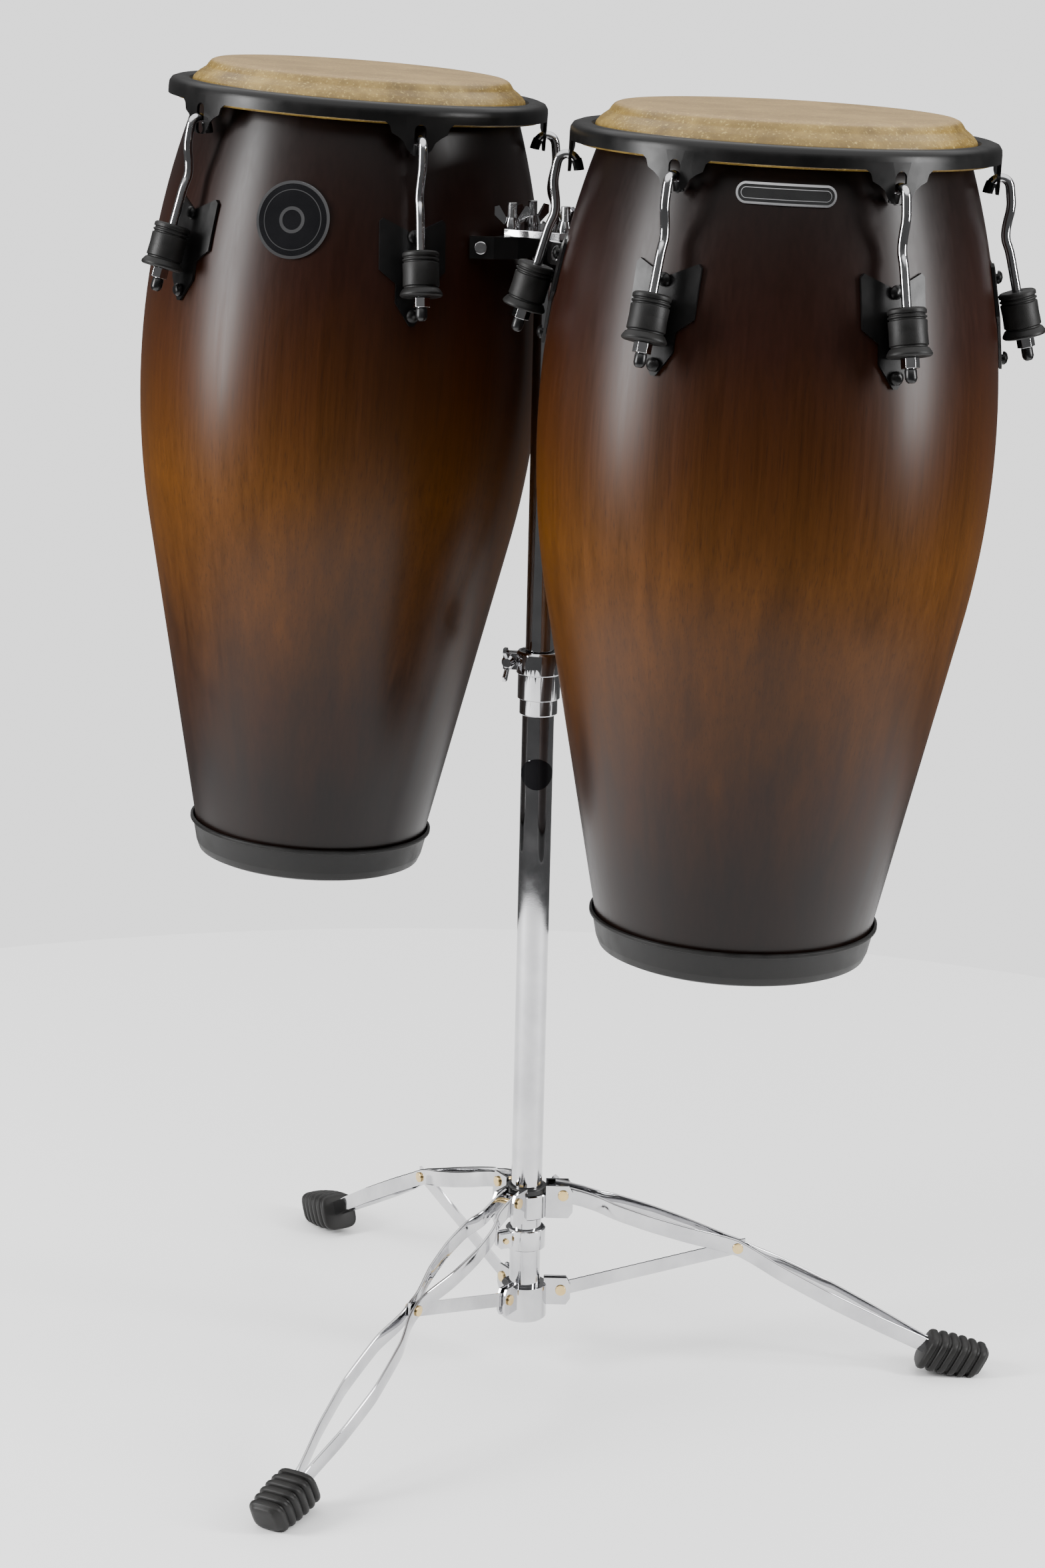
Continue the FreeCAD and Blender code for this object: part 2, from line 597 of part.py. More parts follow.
def bracket(drum, facing):
    """Faceted band bolted to the shell, with a flange that carries two of the studs."""
    body = newBody(drum + "_bracket")
    face = "bar_right - 22" if facing < 0 else "bar_left + 20"
    shift = "(%s)" % face
    way = "%d * " % facing

    def at(depth, across):
        return ("%s + %s(%s)" % (shift, way, depth), "drum_back + (%s)" % across)
    front = [at("-33", "-55"), at("-14", "-46"), at("0", "-30")]
    frontInner = [at("-5", "-27.5"), at("-17.5", "-41.5"), at("-32", "-50.5")]
    if facing > 0:
        # this band turns in early, to leave room for the tilter's cheeks
        rear = [at("0", "18"), at("-8", "25"), at("-27.5", "27")]
        rearInner = [at("-27.5", "22.5"), at("-10", "20.5"), at("-5", "16")]
    else:
        rear = [at("0", "30"), at("-14", "46"), at("-33", "55")]
        rearInner = [at("-32", "50.5"), at("-17.5", "41.5"), at("-5", "27.5")]
    outer, inner = front + rear, rearInner + frontInner
    if facing < 0:
        outer.reverse()
        inner.reverse()
    band = newSketch(body, "XY_Plane", at=("0", "0", "bar_low - band_height"))
    polygon(band, outer + inner if facing > 0 else inner + outer)
    pad(body, band, "band_height - 0.1")
    flange = newSketch(body, "XY_Plane", at=("0", "0", "bar_low - band_sheet"))
    if facing > 0:
        corners = [at("-2", "-29"), at("-2", "17"), at("-9", "23"), at("-17", "23"),
                   at("-17", "-41.5")]
    else:
        corners = [at("-2", "-29"), at("-2", "29"), at("-17", "41.5"), at("-17", "-41.5")]
    polygon(flange, corners if facing > 0 else list(reversed(corners)))
    stud = "stud_left" if facing > 0 else "stud_right"
    for y in ("stud_front", "stud_rear"):
        circle(flange, stud, y, "stud_radius + 0.2")
    pad(body, flange, "band_sheet - 0.1")
    return place(body, standPlace())


def studs():
    """Carriage bolts up through the brackets and the plate."""
    body = newBody("crossbar_studs")
    for x, y in studPlaces():
        shank = newSketch(body, "XY_Plane", at=("0", "0", "bar_low - band_sheet - 0.2"))
        circle(shank, x, y, "stud_radius")
        pad(body, shank, "stud_top - bar_low + band_sheet")
        under = newSketch(body, "XY_Plane", at=("0", "0", "bar_low - band_sheet - 3.8"))
        circle(under, x, y, "stud_radius + 2.4")
        pad(body, under, "3.6")
    return place(body, standPlace())


def wing(label, boss, bore, span):
    """A wing nut standing on its own foot at z = 0, with two thin raised wings."""
    body = newBody(label)
    sketch = newSketch(body, "XZ_Plane")
    polygon(sketch, [(bore, "0"), (boss, "0"), (boss, "3"), ("%s - 1.8" % boss, "9"), (bore, "9")])
    spin(body, sketch)
    for side in ("1", "-1"):
        blade = newSketch(body, "XZ_Plane")
        corners = [("%s - 2" % boss, "1"), ("%s" % span, "11"), ("%s" % span, "18"),
                   ("%s - 4" % span, "19"), ("%s - 2.4" % boss, "8")]
        if side == "-1":
            corners = [("-1 * (%s)" % x, z) for x, z in reversed(corners)]
        polygon(blade, corners)
        made = pad(body, blade, "3", midplane=True)
    doc.recompute()
    assert made.isValid()
    return body


def wingNuts():
    for index, (x, y) in enumerate(studPlaces(), 1):
        body = wing("wing_nut_%d" % index, "wing_radius", "stud_radius + running_gap",
                    "wing_span * 0.8")
        turn = (35.0, 60.0, -20.0, 15.0)[index - 1]
        stand = standPlace()
        at = Vector(number(x), number(y), number("bar_low + bar_sheet + 0.2"))
        place(body, Placement(stand.Base + at, Rotation(Vector(0, 0, 1), turn)))


def bracketBolts():
    """Domed bolt heads that hold the bands to the shells."""
    body = newBody("bracket_bolts")
    spots = [("bar_left + 20 - 23.7", "-51", "-64.7"), ("bar_right - 22 + 23.7", "-51", "-115.3"),
             ("bar_right - 22 + 23.7", "51", "115.3")]
    for x, across, azimuth in spots:
        sketch = newSketch(body, "YZ_Plane", turn=((0, 1, 0), azimuth),
                           at=("drum_back + (%s)" % across, "bar_low - band_height / 2", x))
        circle(sketch, "0", "0", "bolt_head")
        pad(body, sketch, "3.6")
    return place(body, standPlace())


def tilter():
    """Cap on the upper tube with the tongue that the crossbar tilts on, and its bolt."""
    body = newBody("tilter_tongue")
    cap = newSketch(body, "XZ_Plane")
    polygon(cap, [("0", "mast_top + 0.2"), ("upper_tube + 2", "mast_top + 0.2"),
                  ("upper_tube + 2", "mast_top + 3"), ("9", "mast_top + 7"),
                  ("0", "mast_top + 7")])
    spin(body, cap)
    tongue = newSketch(body, "YZ_Plane")
    polygon(tongue, [("-9", "mast_top + 5"), ("9", "mast_top + 5"), ("9", "tilt_level + 3"),
                     ("5", "tilt_level + 9"), ("-5", "tilt_level + 9"), ("-9", "tilt_level + 3")])
    pad(body, tongue, "2 * cheek_gap - 1.2", midplane=True)
    doc.recompute()
    boreAlong(body, "YZ_Plane", "0", "tilt_level", "tilt_pin + running_gap")
    place(body, standPlace())
    pin = newBody("tilt_bolt")
    reach = "cheek_gap + cheek_sheet + 0.3"
    shank = newSketch(pin, "YZ_Plane")
    circle(shank, "0", "tilt_level", "tilt_pin")
    pad(pin, shank, "2 * (%s + 3)" % reach, midplane=True)
    for start in (reach, "-1 * (%s + 6)" % reach):
        head = newSketch(pin, "YZ_Plane", at=("0", "0", start))
        polygon(head, [("7.5 * cos(%ddeg)" % turn, "tilt_level + 7.5 * sin(%ddeg)" % turn)
                       for turn in range(0, 360, 60)])
        pad(pin, head, "6")
    place(pin, standPlace())


# ---------------------------------------------------------------- mast

def turned(label, outline, placement=None):
    body = newBody(label)
    sketch = newSketch(body, "XZ_Plane")
    polygon(sketch, outline)
    spin(body, sketch)
    if placement is None:
        place(body, standPlace())
    return body


def sleeve(label, inner, outer, low, high):
    return turned(label, [(inner, low), (outer, low), (outer, high), (inner, high)])


def clampBlock(body, low, high, radius, reach):
    """Two ears that pinch a split collar."""
    for side in ("1.5", "-6.5"):
        ear = newSketch(body, "XY_Plane", at=("0", "0", low))
        rectangle(ear, "%s - 4" % radius, side, reach, "%s + 5" % side)
        pad(body, ear, "(%s) - (%s)" % (high, low))


def mast():
    sleeve("upper_tube", "upper_tube - tube_wall", "upper_tube", "mast_foot", "mast_top")
    sleeve("lower_tube", "lower_tube - tube_wall", "lower_tube", "tube_foot", "tube_top")
    sleeve("clamp_bush", "upper_tube + running_gap", "sleeve_radius - 0.6", "tube_top + 0.2",
           "clamp_top - 1")
    clamp = turned("height_clamp", [
        ("lower_tube + 0.1", "clamp_low"), ("sleeve_radius - 0.8", "clamp_low"),
        ("sleeve_radius", "clamp_low + 1"), ("sleeve_radius", "clamp_mid - 1"),
        ("collar_radius", "clamp_mid"), ("collar_radius", "clamp_mid + 22"),
        ("collar_radius + 1.4", "clamp_mid + 23"), ("collar_radius + 1.4", "clamp_top - 2"),
        ("collar_radius", "clamp_top"), ("sleeve_radius - 0.4", "clamp_top"),
        ("sleeve_radius - 0.4", "tube_top + 0.1"), ("lower_tube + 0.1", "tube_top + 0.1")], True)
    clampBlock(clamp, "clamp_top - 18", "clamp_top - 3", "collar_radius + 2.4", "collar_radius + 13")
    doc.recompute()
    boreAlong(clamp, "XZ_Plane", "collar_radius + 7.5", "clamp_top - 10.5", "3.2 + running_gap")
    place(clamp, standPlace(number("clamp_turn") - 12))
    screw = wing("clamp_wing_screw", "6", "0", "15")
    stem = newSketch(screw, "XY_Plane", at=("0", "0", "-17"))
    circle(stem, "0", "0", "3.2")
    pad(screw, stem, "18")
    doc.recompute()
    turn = Rotation(Vector(0, 0, 1), number("clamp_turn") - 12)
    lay = Rotation(Vector(1, 0, 0), -90.0)
    at = turn.multVec(Vector(number("collar_radius + 7.5"), 7.2, number("clamp_top - 10.5")))
    place(screw, Placement(standPlace().Base + at, turn * lay * Rotation(Vector(0, 0, 1), 90)))
    disc = turned("tube_badge", [
        ("lower_tube + 0.1", "571 - 15"), ("lower_tube + 1", "571 - 15"),
        ("lower_tube + 1", "571 + 15"), ("lower_tube + 0.1", "571 + 15")], True)
    outline = newSketch(disc, "YZ_Plane")
    rectangle(outline, "-20", "571 - 18", "20", "571 + 18")
    circle(outline, "0", "571", "14.2")
    cutter(disc, "Pocket", outline)
    rear = newSketch(disc, "XZ_Plane")
    rectangle(rear, "-20", "571 - 18", "0", "571 + 18")
    cutter(disc, "Pocket", rear, midplane=True)
    place(disc, standPlace(-58.0))


# ---------------------------------------------------------------- tripod

def hubArms(body, low, high, radius, inner, sheet, reach, holes, pivot):
    """Three pairs of cheeks round a hub, each pair bored for a pin."""
    made = []
    for way in (1, -1):
        arm = newSketch(body, "XZ_Plane", at=("0", "0", "%d * (%s)" % (way, inner)))
        polygon(arm, [("%s - 3" % radius, low), ("%s - 4" % reach, low), (reach, low + " + 6"),
                      (reach, high + " - 6"), ("%s - 4" % reach, high), ("%s - 3" % radius, high)])
        made.append(pad(body, arm, sheet, reverse=way < 0))
    doc.recompute()
    ring(body, made, "3")
    hole = newSketch(body, "XZ_Plane")
    circle(hole, "pivot_out", pivot, holes)
    bored = cutter(body, "Pocket", hole, midplane=True)
    ring(body, [bored], "3")


def hubs():
    upper = turned("upper_hub", [
        ("lower_tube + slide_gap", "hub_low"), ("hub_radius - 1", "hub_low"),
        ("hub_radius", "hub_low + 1"), ("hub_radius", "hub_high - 1"),
        ("hub_radius - 1", "hub_high"), ("lower_tube + slide_gap", "hub_high")], True)
    hubArms(upper, "hub_low", "hub_high + 8", "hub_radius", "gap_hub + strap_sheet / 2 + 0.4", "2.6",
            "hub_arm", "pin_radius + running_gap", "upper_pivot")
    doc.recompute()
    place(upper, standPlace(number("leg_turn")))
    turned("hub_ring", [("lower_tube + slide_gap", "hub_high + 0.1"), ("19", "hub_high + 0.1"),
                        ("19", "hub_ring_top - 1"), ("18", "hub_ring_top"),
                        ("lower_tube + slide_gap", "hub_ring_top")])
    bolt = newBody("hub_bolt")
    stem = newSketch(bolt, "XY_Plane")
    circle(stem, "0", "0", "3")
    pad(bolt, stem, "22")
    bar = newSketch(bolt, "XZ_Plane", at=("0", "0", "0"))
    rectangle(bar, "-15", "19", "15", "24")
    pad(bolt, bar, "5", midplane=True)
    turn = Rotation(Vector(0, 0, 1), number("leg_turn") + 60)
    out = turn.multVec(Vector(number("hub_radius + 0.3"), 0, 160.5))
    place(bolt, Placement(standPlace().Base + out,
                          turn * Rotation(Vector(0, 1, 0), 90) * Rotation(Vector(0, 0, 1), 30)))
    lower = turned("lower_hub", [
        ("0", "low_hub_low - 5"), ("hub_radius - 2", "low_hub_low - 5"),
        ("hub_radius", "low_hub_low - 3"), ("hub_radius", "low_hub_high"),
        ("lower_tube + 0.1", "low_hub_high"), ("lower_tube + 0.1", "tube_foot - 0.2"),
        ("0", "tube_foot - 0.2")], True)
    hubArms(lower, "low_hub_low + 8", "low_hub_high + 6", "hub_radius", "strap_sheet / 2 + 0.5", "2.6",
            "hub_arm", "pin_radius + running_gap", "lower_pivot")
    doc.recompute()
    place(lower, standPlace(number("leg_turn")))
    lock = turned("memory_lock", [
        ("lower_tube + 0.1", "lock_low"), ("lock_radius - 1", "lock_low"),
        ("lock_radius", "lock_low + 1"), ("lock_radius", "lock_high - 1"),
        ("lock_radius - 1", "lock_high"), ("lower_tube + 0.1", "lock_high")], True)
    clampBlock(lock, "lock_low + 3", "lock_high - 3", "lock_radius", "lock_radius + 10")
    doc.recompute()
    boreAlong(lock, "XZ_Plane", "lock_radius + 5", "(lock_low + lock_high) / 2", "2.6")
    place(lock, standPlace(240.0))
    key = newBody("memory_lock_screw")
    stem = newSketch(key, "XZ_Plane")
    circle(stem, "lock_radius + 5", "(lock_low + lock_high) / 2", "2.5")
    pad(key, stem, "17", midplane=True)
    square = newSketch(key, "XZ_Plane", at=("0", "0", "7.2"))
    rectangle(square, "lock_radius + 1.5", "(lock_low + lock_high) / 2 - 3.5",
              "lock_radius + 8.5", "(lock_low + lock_high) / 2 + 3.5")
    pad(key, square, "8")
    place(key, standPlace(240.0))


def slab(name, role, outline, length):
    """A pad that is one of the two outlines of a leg."""
    body = newBody(name)
    sketch = newSketch(body, role)
    for points in outline:
        polygon(sketch, points)
    pad(body, sketch, length, midplane=True)
    return body


def strapSide(extra="0"):
    """Side view of a leg: level at the hub, down to the knee, then steeper to the foot."""
    half = "(strap_half_height + %s)" % extra
    line = [("pivot_out - 7", "upper_pivot + 1"), ("pivot_out + 12", "upper_pivot - 2"),
            ("knee_out", "knee_level"), ("toe_out", "toe_level + 6")]
    top = [(x, z + " + " + half) for x, z in line]
    low = [(x, z + " - " + half) for x, z in reversed(line)]
    return top + low


def strapPlan(side):
    """Plan view of one strip: two bows either side of the knee, then in to the foot."""
    stations = [("pivot_out - 8", "gap_hub"), ("pivot_out + 25", "gap_hub"),
                ("80", "gap_wide - 1"), ("115", "gap_wide"), ("150", "gap_wide - 4"),
                ("knee_out - 12", "gap_knee"), ("knee_out + 12", "gap_knee"),
                ("250", "gap_wide - 2"), ("285", "gap_wide"), ("325", "gap_wide - 4"),
                ("372", "gap_toe"), ("toe_out", "gap_toe")]
    near = [(x, "%d * (%s - strap_sheet / 2)" % (side, y)) for x, y in stations]
    far = [(x, "%d * (%s + strap_sheet / 2)" % (side, y)) for x, y in reversed(stations)]
    return near + far


def legStraps(index, turn):
    side = slab("leg_side_%d" % index, "XZ_Plane", [strapSide()], "60")
    plan = slab("leg_plan_%d" % index, "XY_Plane", [strapPlan(1), strapPlan(-1)], "500")
    straps = doc.addObject("Part::MultiCommon", "leg_%d_straps_blank" % index)
    straps.Shapes = [side, plan]
    drills = []
    for order, (x, z) in enumerate((("pivot_out", "upper_pivot"), ("knee_out", "knee_level"))):
        drill = doc.addObject("Part::Cylinder", "leg_drill_%d_%d" % (index, order))
        bind(drill, "Radius", "pin_radius + 0.1")
        bind(drill, "Height", "60")
        drill.Placement = Placement(Vector(number(x), 30, number(z)), Rotation(Vector(1, 0, 0), 90))
        bind(drill, "Placement.Base.x", x)
        bind(drill, "Placement.Base.z", z)
        drills.append(drill)
    tools = doc.addObject("Part::MultiFuse", "leg_drills_%d" % index)
    tools.Shapes = drills
    cut = doc.addObject("Part::Cut", "leg_%d_straps" % index)
    cut.Base, cut.Tool = straps, tools
    cut.Label = "leg_%d_straps" % index
    place(cut, standPlace(turn))


def pin(body, x, z, reach):
    """A rivet across the leg with a low head at each end."""
    shank = newSketch(body, "XZ_Plane")
    circle(shank, x, z, "pin_radius")
    pad(body, shank, "2 * (%s) + 2" % reach, midplane=True)
    for way in (1, -1):
        head = newSketch(body, "XZ_Plane", at=("0", "0", "%d * (%s + 0.2)" % (way, reach)))
        circle(head, x, z, "rivet_head")
        pad(body, head, "1.8", reverse=way < 0)


def leg(index):
    turn = number("leg_turn") + 120 * (index - 1)
    legStraps(index, turn)
    rivets = newBody("leg_%d_rivets" % index)
    pin(rivets, "pivot_out", "upper_pivot", "gap_hub + strap_sheet / 2 + 3")
    pin(rivets, "knee_out", "knee_level", "gap_knee + strap_sheet / 2")
    place(rivets, standPlace(turn))
    brace = newBody("brace_%d" % index)
    bar = newSketch(brace, "XZ_Plane")
    rise = "(knee_level - lower_pivot) / (knee_out - pivot_out)"
    ends = [("pivot_out - 7", "lower_pivot - 7 * %s" % rise),
            ("knee_out + 7", "knee_level + 7 * %s" % rise)]
    low = [(x, z + " - 6.5") for x, z in ends]
    high = [(x, z + " + 6.5") for x, z in reversed(ends)]
    polygon(bar, low + high)
    circle(bar, "pivot_out", "lower_pivot", "pin_radius + 0.1")
    circle(bar, "knee_out", "knee_level", "pin_radius + running_gap")
    pad(brace, bar, "strap_sheet", midplane=True)
    place(brace, standPlace(turn))
    foot = newBody("foot_%d" % index)
    block = newSketch(foot, "XZ_Plane")
    polygon(block, [("toe_out - 28", "22"), ("toe_out - 15", "42"), ("toe_out - 9", "43"),
                    ("toe_out + 34", "17"), ("toe_out + 36", "11"), ("toe_out + 30", "0"),
                    ("toe_out - 4", "0"), ("toe_out - 24", "12")])
    pad(foot, block, "2 * foot_half_width", midplane=True)
    doc.recompute()
    socket = newSketch(foot, "XZ_Plane")
    polygon(socket, [("toe_out - 60", "15"), ("toe_out + 0.5", "toe_level - 3"),
                     ("toe_out + 0.5", "toe_level + 15"), ("toe_out - 60", "65")])
    room = foot.newObject("PartDesign::Pocket", "foot_%d_socket" % index)
    room.Profile = socket
    room.Type = "Length"
    bind(room, "Length", "2 * (gap_toe + strap_sheet / 2 + 1.4)")
    room.Midplane = True
    place(foot, standPlace(turn))


def hubRivets():
    """Half rivets: each shank ends inside its own cheek of the lower hub."""
    body = newBody("lower_hub_rivets")
    made = []
    for way in (1, -1):
        for start, length, radius in (("strap_sheet / 2 + 0.6", "2.6", "pin_radius"),
                                      ("strap_sheet / 2 + 3.3", "1.6", "rivet_head")):
            sketch = newSketch(body, "XZ_Plane", at=("0", "0", "%d * (%s)" % (way, start)))
            circle(sketch, "pivot_out", "lower_pivot", radius)
            made.append(pad(body, sketch, length, reverse=way < 0))
    doc.recompute()
    ring(body, made, "3")
    place(body, standPlace(number("leg_turn")))


def export():
    os.makedirs("parts", exist_ok=True)
    doc.recompute()
    for thing in doc.Objects:
        broken = [state for state in thing.State if state in ("Invalid", "Error")]
        assert not broken, "%s is %s" % (thing.Label, thing.State)
    for node in nodes:
        shape = node.Shape
        assert not shape.isNull() and shape.isValid(), node.Label + " has no valid shape"
        assert shape.Volume > 0, node.Label
        shape.exportStep("parts/%s.step" % node.Label)
        print("%-24s %2d solids %10.0f mm3" % (node.Label, len(shape.Solids), shape.Volume))


fillSheet()
drumParts("quinto", True, 288.0)
drumParts("conga", False, 300.0)
crossbar()
bracket("quinto", 1)
bracket("conga", -1)
studs()
wingNuts()
bracketBolts()
tilter()
mast()
hubs()
hubRivets()
for index in (1, 2, 3):
    leg(index)
export()
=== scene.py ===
# Two tall barrel drums on one folding stand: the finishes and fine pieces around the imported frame.
import json
import math

import bmesh
import bpy
from mathutils import Matrix, Vector


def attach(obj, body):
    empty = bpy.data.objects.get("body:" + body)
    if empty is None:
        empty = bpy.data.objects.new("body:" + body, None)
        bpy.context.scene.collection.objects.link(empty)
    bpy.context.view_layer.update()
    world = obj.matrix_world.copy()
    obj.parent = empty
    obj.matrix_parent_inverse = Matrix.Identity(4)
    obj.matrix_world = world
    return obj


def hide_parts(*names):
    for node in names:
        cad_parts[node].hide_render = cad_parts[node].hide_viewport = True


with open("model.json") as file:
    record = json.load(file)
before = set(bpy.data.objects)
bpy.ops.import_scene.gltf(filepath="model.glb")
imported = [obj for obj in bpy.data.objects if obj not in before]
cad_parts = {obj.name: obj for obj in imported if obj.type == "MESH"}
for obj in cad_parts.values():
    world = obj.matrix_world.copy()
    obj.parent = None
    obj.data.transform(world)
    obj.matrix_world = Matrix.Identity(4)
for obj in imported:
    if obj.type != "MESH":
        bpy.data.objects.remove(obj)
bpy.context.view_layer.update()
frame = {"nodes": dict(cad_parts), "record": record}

nodes = frame["nodes"]
bodyOf = {node: body for body, members in frame["record"]["behaviour"]["bodies"].items()
          for node in members}
mm = 0.001
zAxis = Vector((0, 0, 1))
print("frame loaded:", len(nodes), "nodes")

# where the drums hang: head centre, leans in degrees, outline radii and first lug, in millimetres
drums = {
    "quinto": {"top": (-198.07, 57.35, 1185.9), "side": 3.08, "back": 1.2, "belly": 178.3,
               "foot": 101.0, "level": 450.0, "rim": 166.9, "lugs": 5, "first": 36.0},
    "conga": {"top": (229.53, 57.35, 1171.4), "side": 1.63, "back": 0.42, "belly": 190.8,
              "foot": 114.5, "level": 445.0, "rim": 176.7, "lugs": 6, "first": 30.0},
}
build = {"height": 711.0, "shellTop": 706.0, "wall": 11.0, "upperBend": 720.0, "lowerBend": 740.0}
stand = {"x": -19.37, "y": 91.95, "turn": 33.0, "between": 120.0}


def drumMatrix(drum, turn=0.0):
    d = drums[drum]
    tilt = [math.tan(math.radians(d[way])) for way in ("side", "back")]
    axis = Vector((*tilt, 1)).normalized()
    lean = zAxis.rotation_difference(axis).to_matrix().to_4x4()
    low = Vector(d["top"]) - axis * build["height"]
    return (Matrix.Scale(mm, 4) @ Matrix.Translation(low) @ lean
            @ Matrix.Rotation(math.radians(turn), 4, "Z"))


def legMatrix(index):
    turn = stand["turn"] + stand["between"] * (index - 1)
    return (Matrix.Scale(mm, 4) @ Matrix.Translation((stand["x"], stand["y"], 0))
            @ Matrix.Rotation(math.radians(turn), 4, "Z"))


def lugMatrices(drum):
    d = drums[drum]
    return [drumMatrix(drum, d["first"] + i * 360.0 / d["lugs"]) for i in range(d["lugs"])]


def wallRadius(drum, level, inset=0.0):
    # an arc above the belly; below it a second arc that runs straight on to the foot
    d = drums[drum]
    bend = build["upperBend"] if level > d["level"] else build["lowerBend"]
    arc = d["belly"] - bend + math.sqrt(bend ** 2 - (level - d["level"]) ** 2)
    if level > d["level"]:
        return arc - inset
    gapX, gapY = d["foot"] - d["belly"] + bend, -d["level"]
    touch = math.atan2(gapY, gapX) + math.acos(bend / math.hypot(gapX, gapY))
    meetX = d["belly"] - bend + math.cos(touch) * bend
    meetZ = d["level"] + math.sin(touch) * bend
    if level < meetZ:
        arc = d["foot"] + (meetX - d["foot"]) * level / meetZ
    return arc - inset


# shader helpers
def put(tree, kind, links=None, **settings):
    node = tree.nodes.new(kind)
    for key, value in settings.items():
        setattr(node, key, value)
    for key, value in (links or {}).items():
        if isinstance(value, bpy.types.NodeSocket):
            tree.links.new(value, node.inputs[key])
        else:
            node.inputs[key].default_value = value
    return node


def maths(tree, operation, *values):
    return put(tree, "ShaderNodeMath", dict(enumerate(values)), operation=operation).outputs[0]


def spread(tree, value, fromLow, fromHigh, toLow=0.0, toHigh=1.0):
    return put(tree, "ShaderNodeMapRange",
               {0: value, 1: fromLow, 2: fromHigh, 3: toLow, 4: toHigh}).outputs[0]


def stretch(tree, vector, amounts):
    return put(tree, "ShaderNodeVectorMath", {0: vector, 1: amounts},
               operation="MULTIPLY").outputs[0]


def noise(tree, vector, scale=1.0, **more):
    return put(tree, "ShaderNodeTexNoise", {"Vector": vector, "Scale": scale, **more}).outputs[0]


def ramp(tree, value, stops):
    band = put(tree, "ShaderNodeValToRGB", {0: value})
    elements = band.color_ramp.elements
    while len(elements) < len(stops):
        elements.new(0.5)
    for element, (place, colour) in zip(elements, stops):
        element.position = place
        element.color = (*colour, 1.0)
    return band.outputs[0]


def mixColour(tree, factor, first, second):
    return put(tree, "ShaderNodeMix", {0: factor, 6: first, 7: second}, data_type="RGBA").outputs[2]


def newGroup(name, inputs, outputs):
    tree = bpy.data.node_groups.new(name, "ShaderNodeTree")
    for label, value in inputs:
        kind = "NodeSocketVector" if value is None else "NodeSocketFloat"
        socket = tree.interface.new_socket(name=label, in_out="INPUT", socket_type=kind)
        if value is not None:
            socket.default_value = value
    for label in outputs:
        tree.interface.new_socket(name=label, in_out="OUTPUT", socket_type="NodeSocketFloat")
    return tree, tree.nodes.new("NodeGroupInput").outputs, tree.nodes.new("NodeGroupOutput").inputs


grainLook = {"staves": 16.0, "streak": (260.0, 260.0, 5.0), "figure": (38.0, 38.0, 1.6),
             "pore": (900.0, 900.0, 40.0), "poreFrom": 0.56, "poreTo": 0.70, "staveTint": 0.28}
speckleLook = {"fine": 600.0, "coarse": 40.0, "spots": (0.57, 0.72), "patches": (0.35, 0.68),
               "coarseShare": 0.5}


def grainGroup():
    # fine upright streaks, short pores and a slightly different tone for each stave
    tree, into, out = newGroup("upright grain", [("Vector", None), ("Staves", grainLook["staves"])],
                               ["Tone", "Pores", "Cloud"])
    parts = put(tree, "ShaderNodeSeparateXYZ", {0: into["Vector"]}).outputs
    angle = maths(tree, "ARCTAN2", parts[1], parts[0])
    share = maths(tree, "MULTIPLY", maths(tree, "DIVIDE", angle, 2 * math.pi), into["Staves"])
    tint = put(tree, "ShaderNodeTexWhiteNoise", {"W": maths(tree, "FLOOR", share)},
               noise_dimensions="1D").outputs["Value"]
    streak = noise(tree, stretch(tree, into["Vector"], grainLook["streak"]),
                   Detail=6.0, Roughness=0.68)
    figure = noise(tree, stretch(tree, into["Vector"], grainLook["figure"]),
                   Detail=3.0, Distortion=0.6)
    pore = noise(tree, stretch(tree, into["Vector"], grainLook["pore"]), Detail=2.0)
    tone = maths(tree, "ADD", maths(tree, "ADD", streak, figure),
                 maths(tree, "MULTIPLY", tint, grainLook["staveTint"]))
    tree.links.new(tone, out["Tone"])
    tree.links.new(spread(tree, pore, grainLook["poreFrom"], grainLook["poreTo"]), out["Pores"])
    tree.links.new(figure, out["Cloud"])
    return tree


def speckleGroup():
    # two sizes of mottling, as masks and as a height
    tree, into, out = newGroup(
        "speckle",
        [("Vector", None), ("Fine", speckleLook["fine"]), ("Coarse", speckleLook["coarse"])],
        ["Spots", "Patches", "Height"])
    fine = noise(tree, into["Vector"], into["Fine"], Detail=3.0)
    coarse = noise(tree, into["Vector"], into["Coarse"], Detail=5.0, Roughness=0.6)
    height = maths(tree, "MULTIPLY_ADD", coarse, speckleLook["coarseShare"], fine)
    tree.links.new(spread(tree, fine, *speckleLook["spots"]), out["Spots"])
    tree.links.new(spread(tree, coarse, *speckleLook["patches"]), out["Patches"])
    tree.links.new(height, out["Height"])
    return tree


grain = grainGroup()
speckle = speckleGroup()


def startMaterial(name, roughness, metallic=0.0):
    material = bpy.data.materials.new(name)
    material.use_nodes = True
    tree = material.node_tree
    shader = tree.nodes["Principled BSDF"]
    shader.inputs["Roughness"].default_value = roughness
    shader.inputs["Metallic"].default_value = metallic
    return material, tree, shader


def useGroup(tree, group, vector, **values):
    field = tree.nodes.new("ShaderNodeGroup")
    field.node_tree = group
    tree.links.new(vector, field.inputs["Vector"])
    for key, value in values.items():
        field.inputs[key].default_value = value
    return field.outputs


def objectVector(tree, drum=None):
    vector = tree.nodes.new("ShaderNodeTexCoord").outputs["Object"]
    if drum is None:
        return vector
    # turned and centred so that Z runs up the drum's own axis
    back = (drumMatrix(drum) @ Matrix.Scale(1 / mm, 4)).inverted()
    return put(tree, "ShaderNodeMapping", {"Vector": vector, "Location": back.to_translation(),
                                           "Rotation": back.to_euler("XYZ")}).outputs[0]


def heightOf(tree, vector):
    return put(tree, "ShaderNodeSeparateXYZ", {0: vector}).outputs[2]


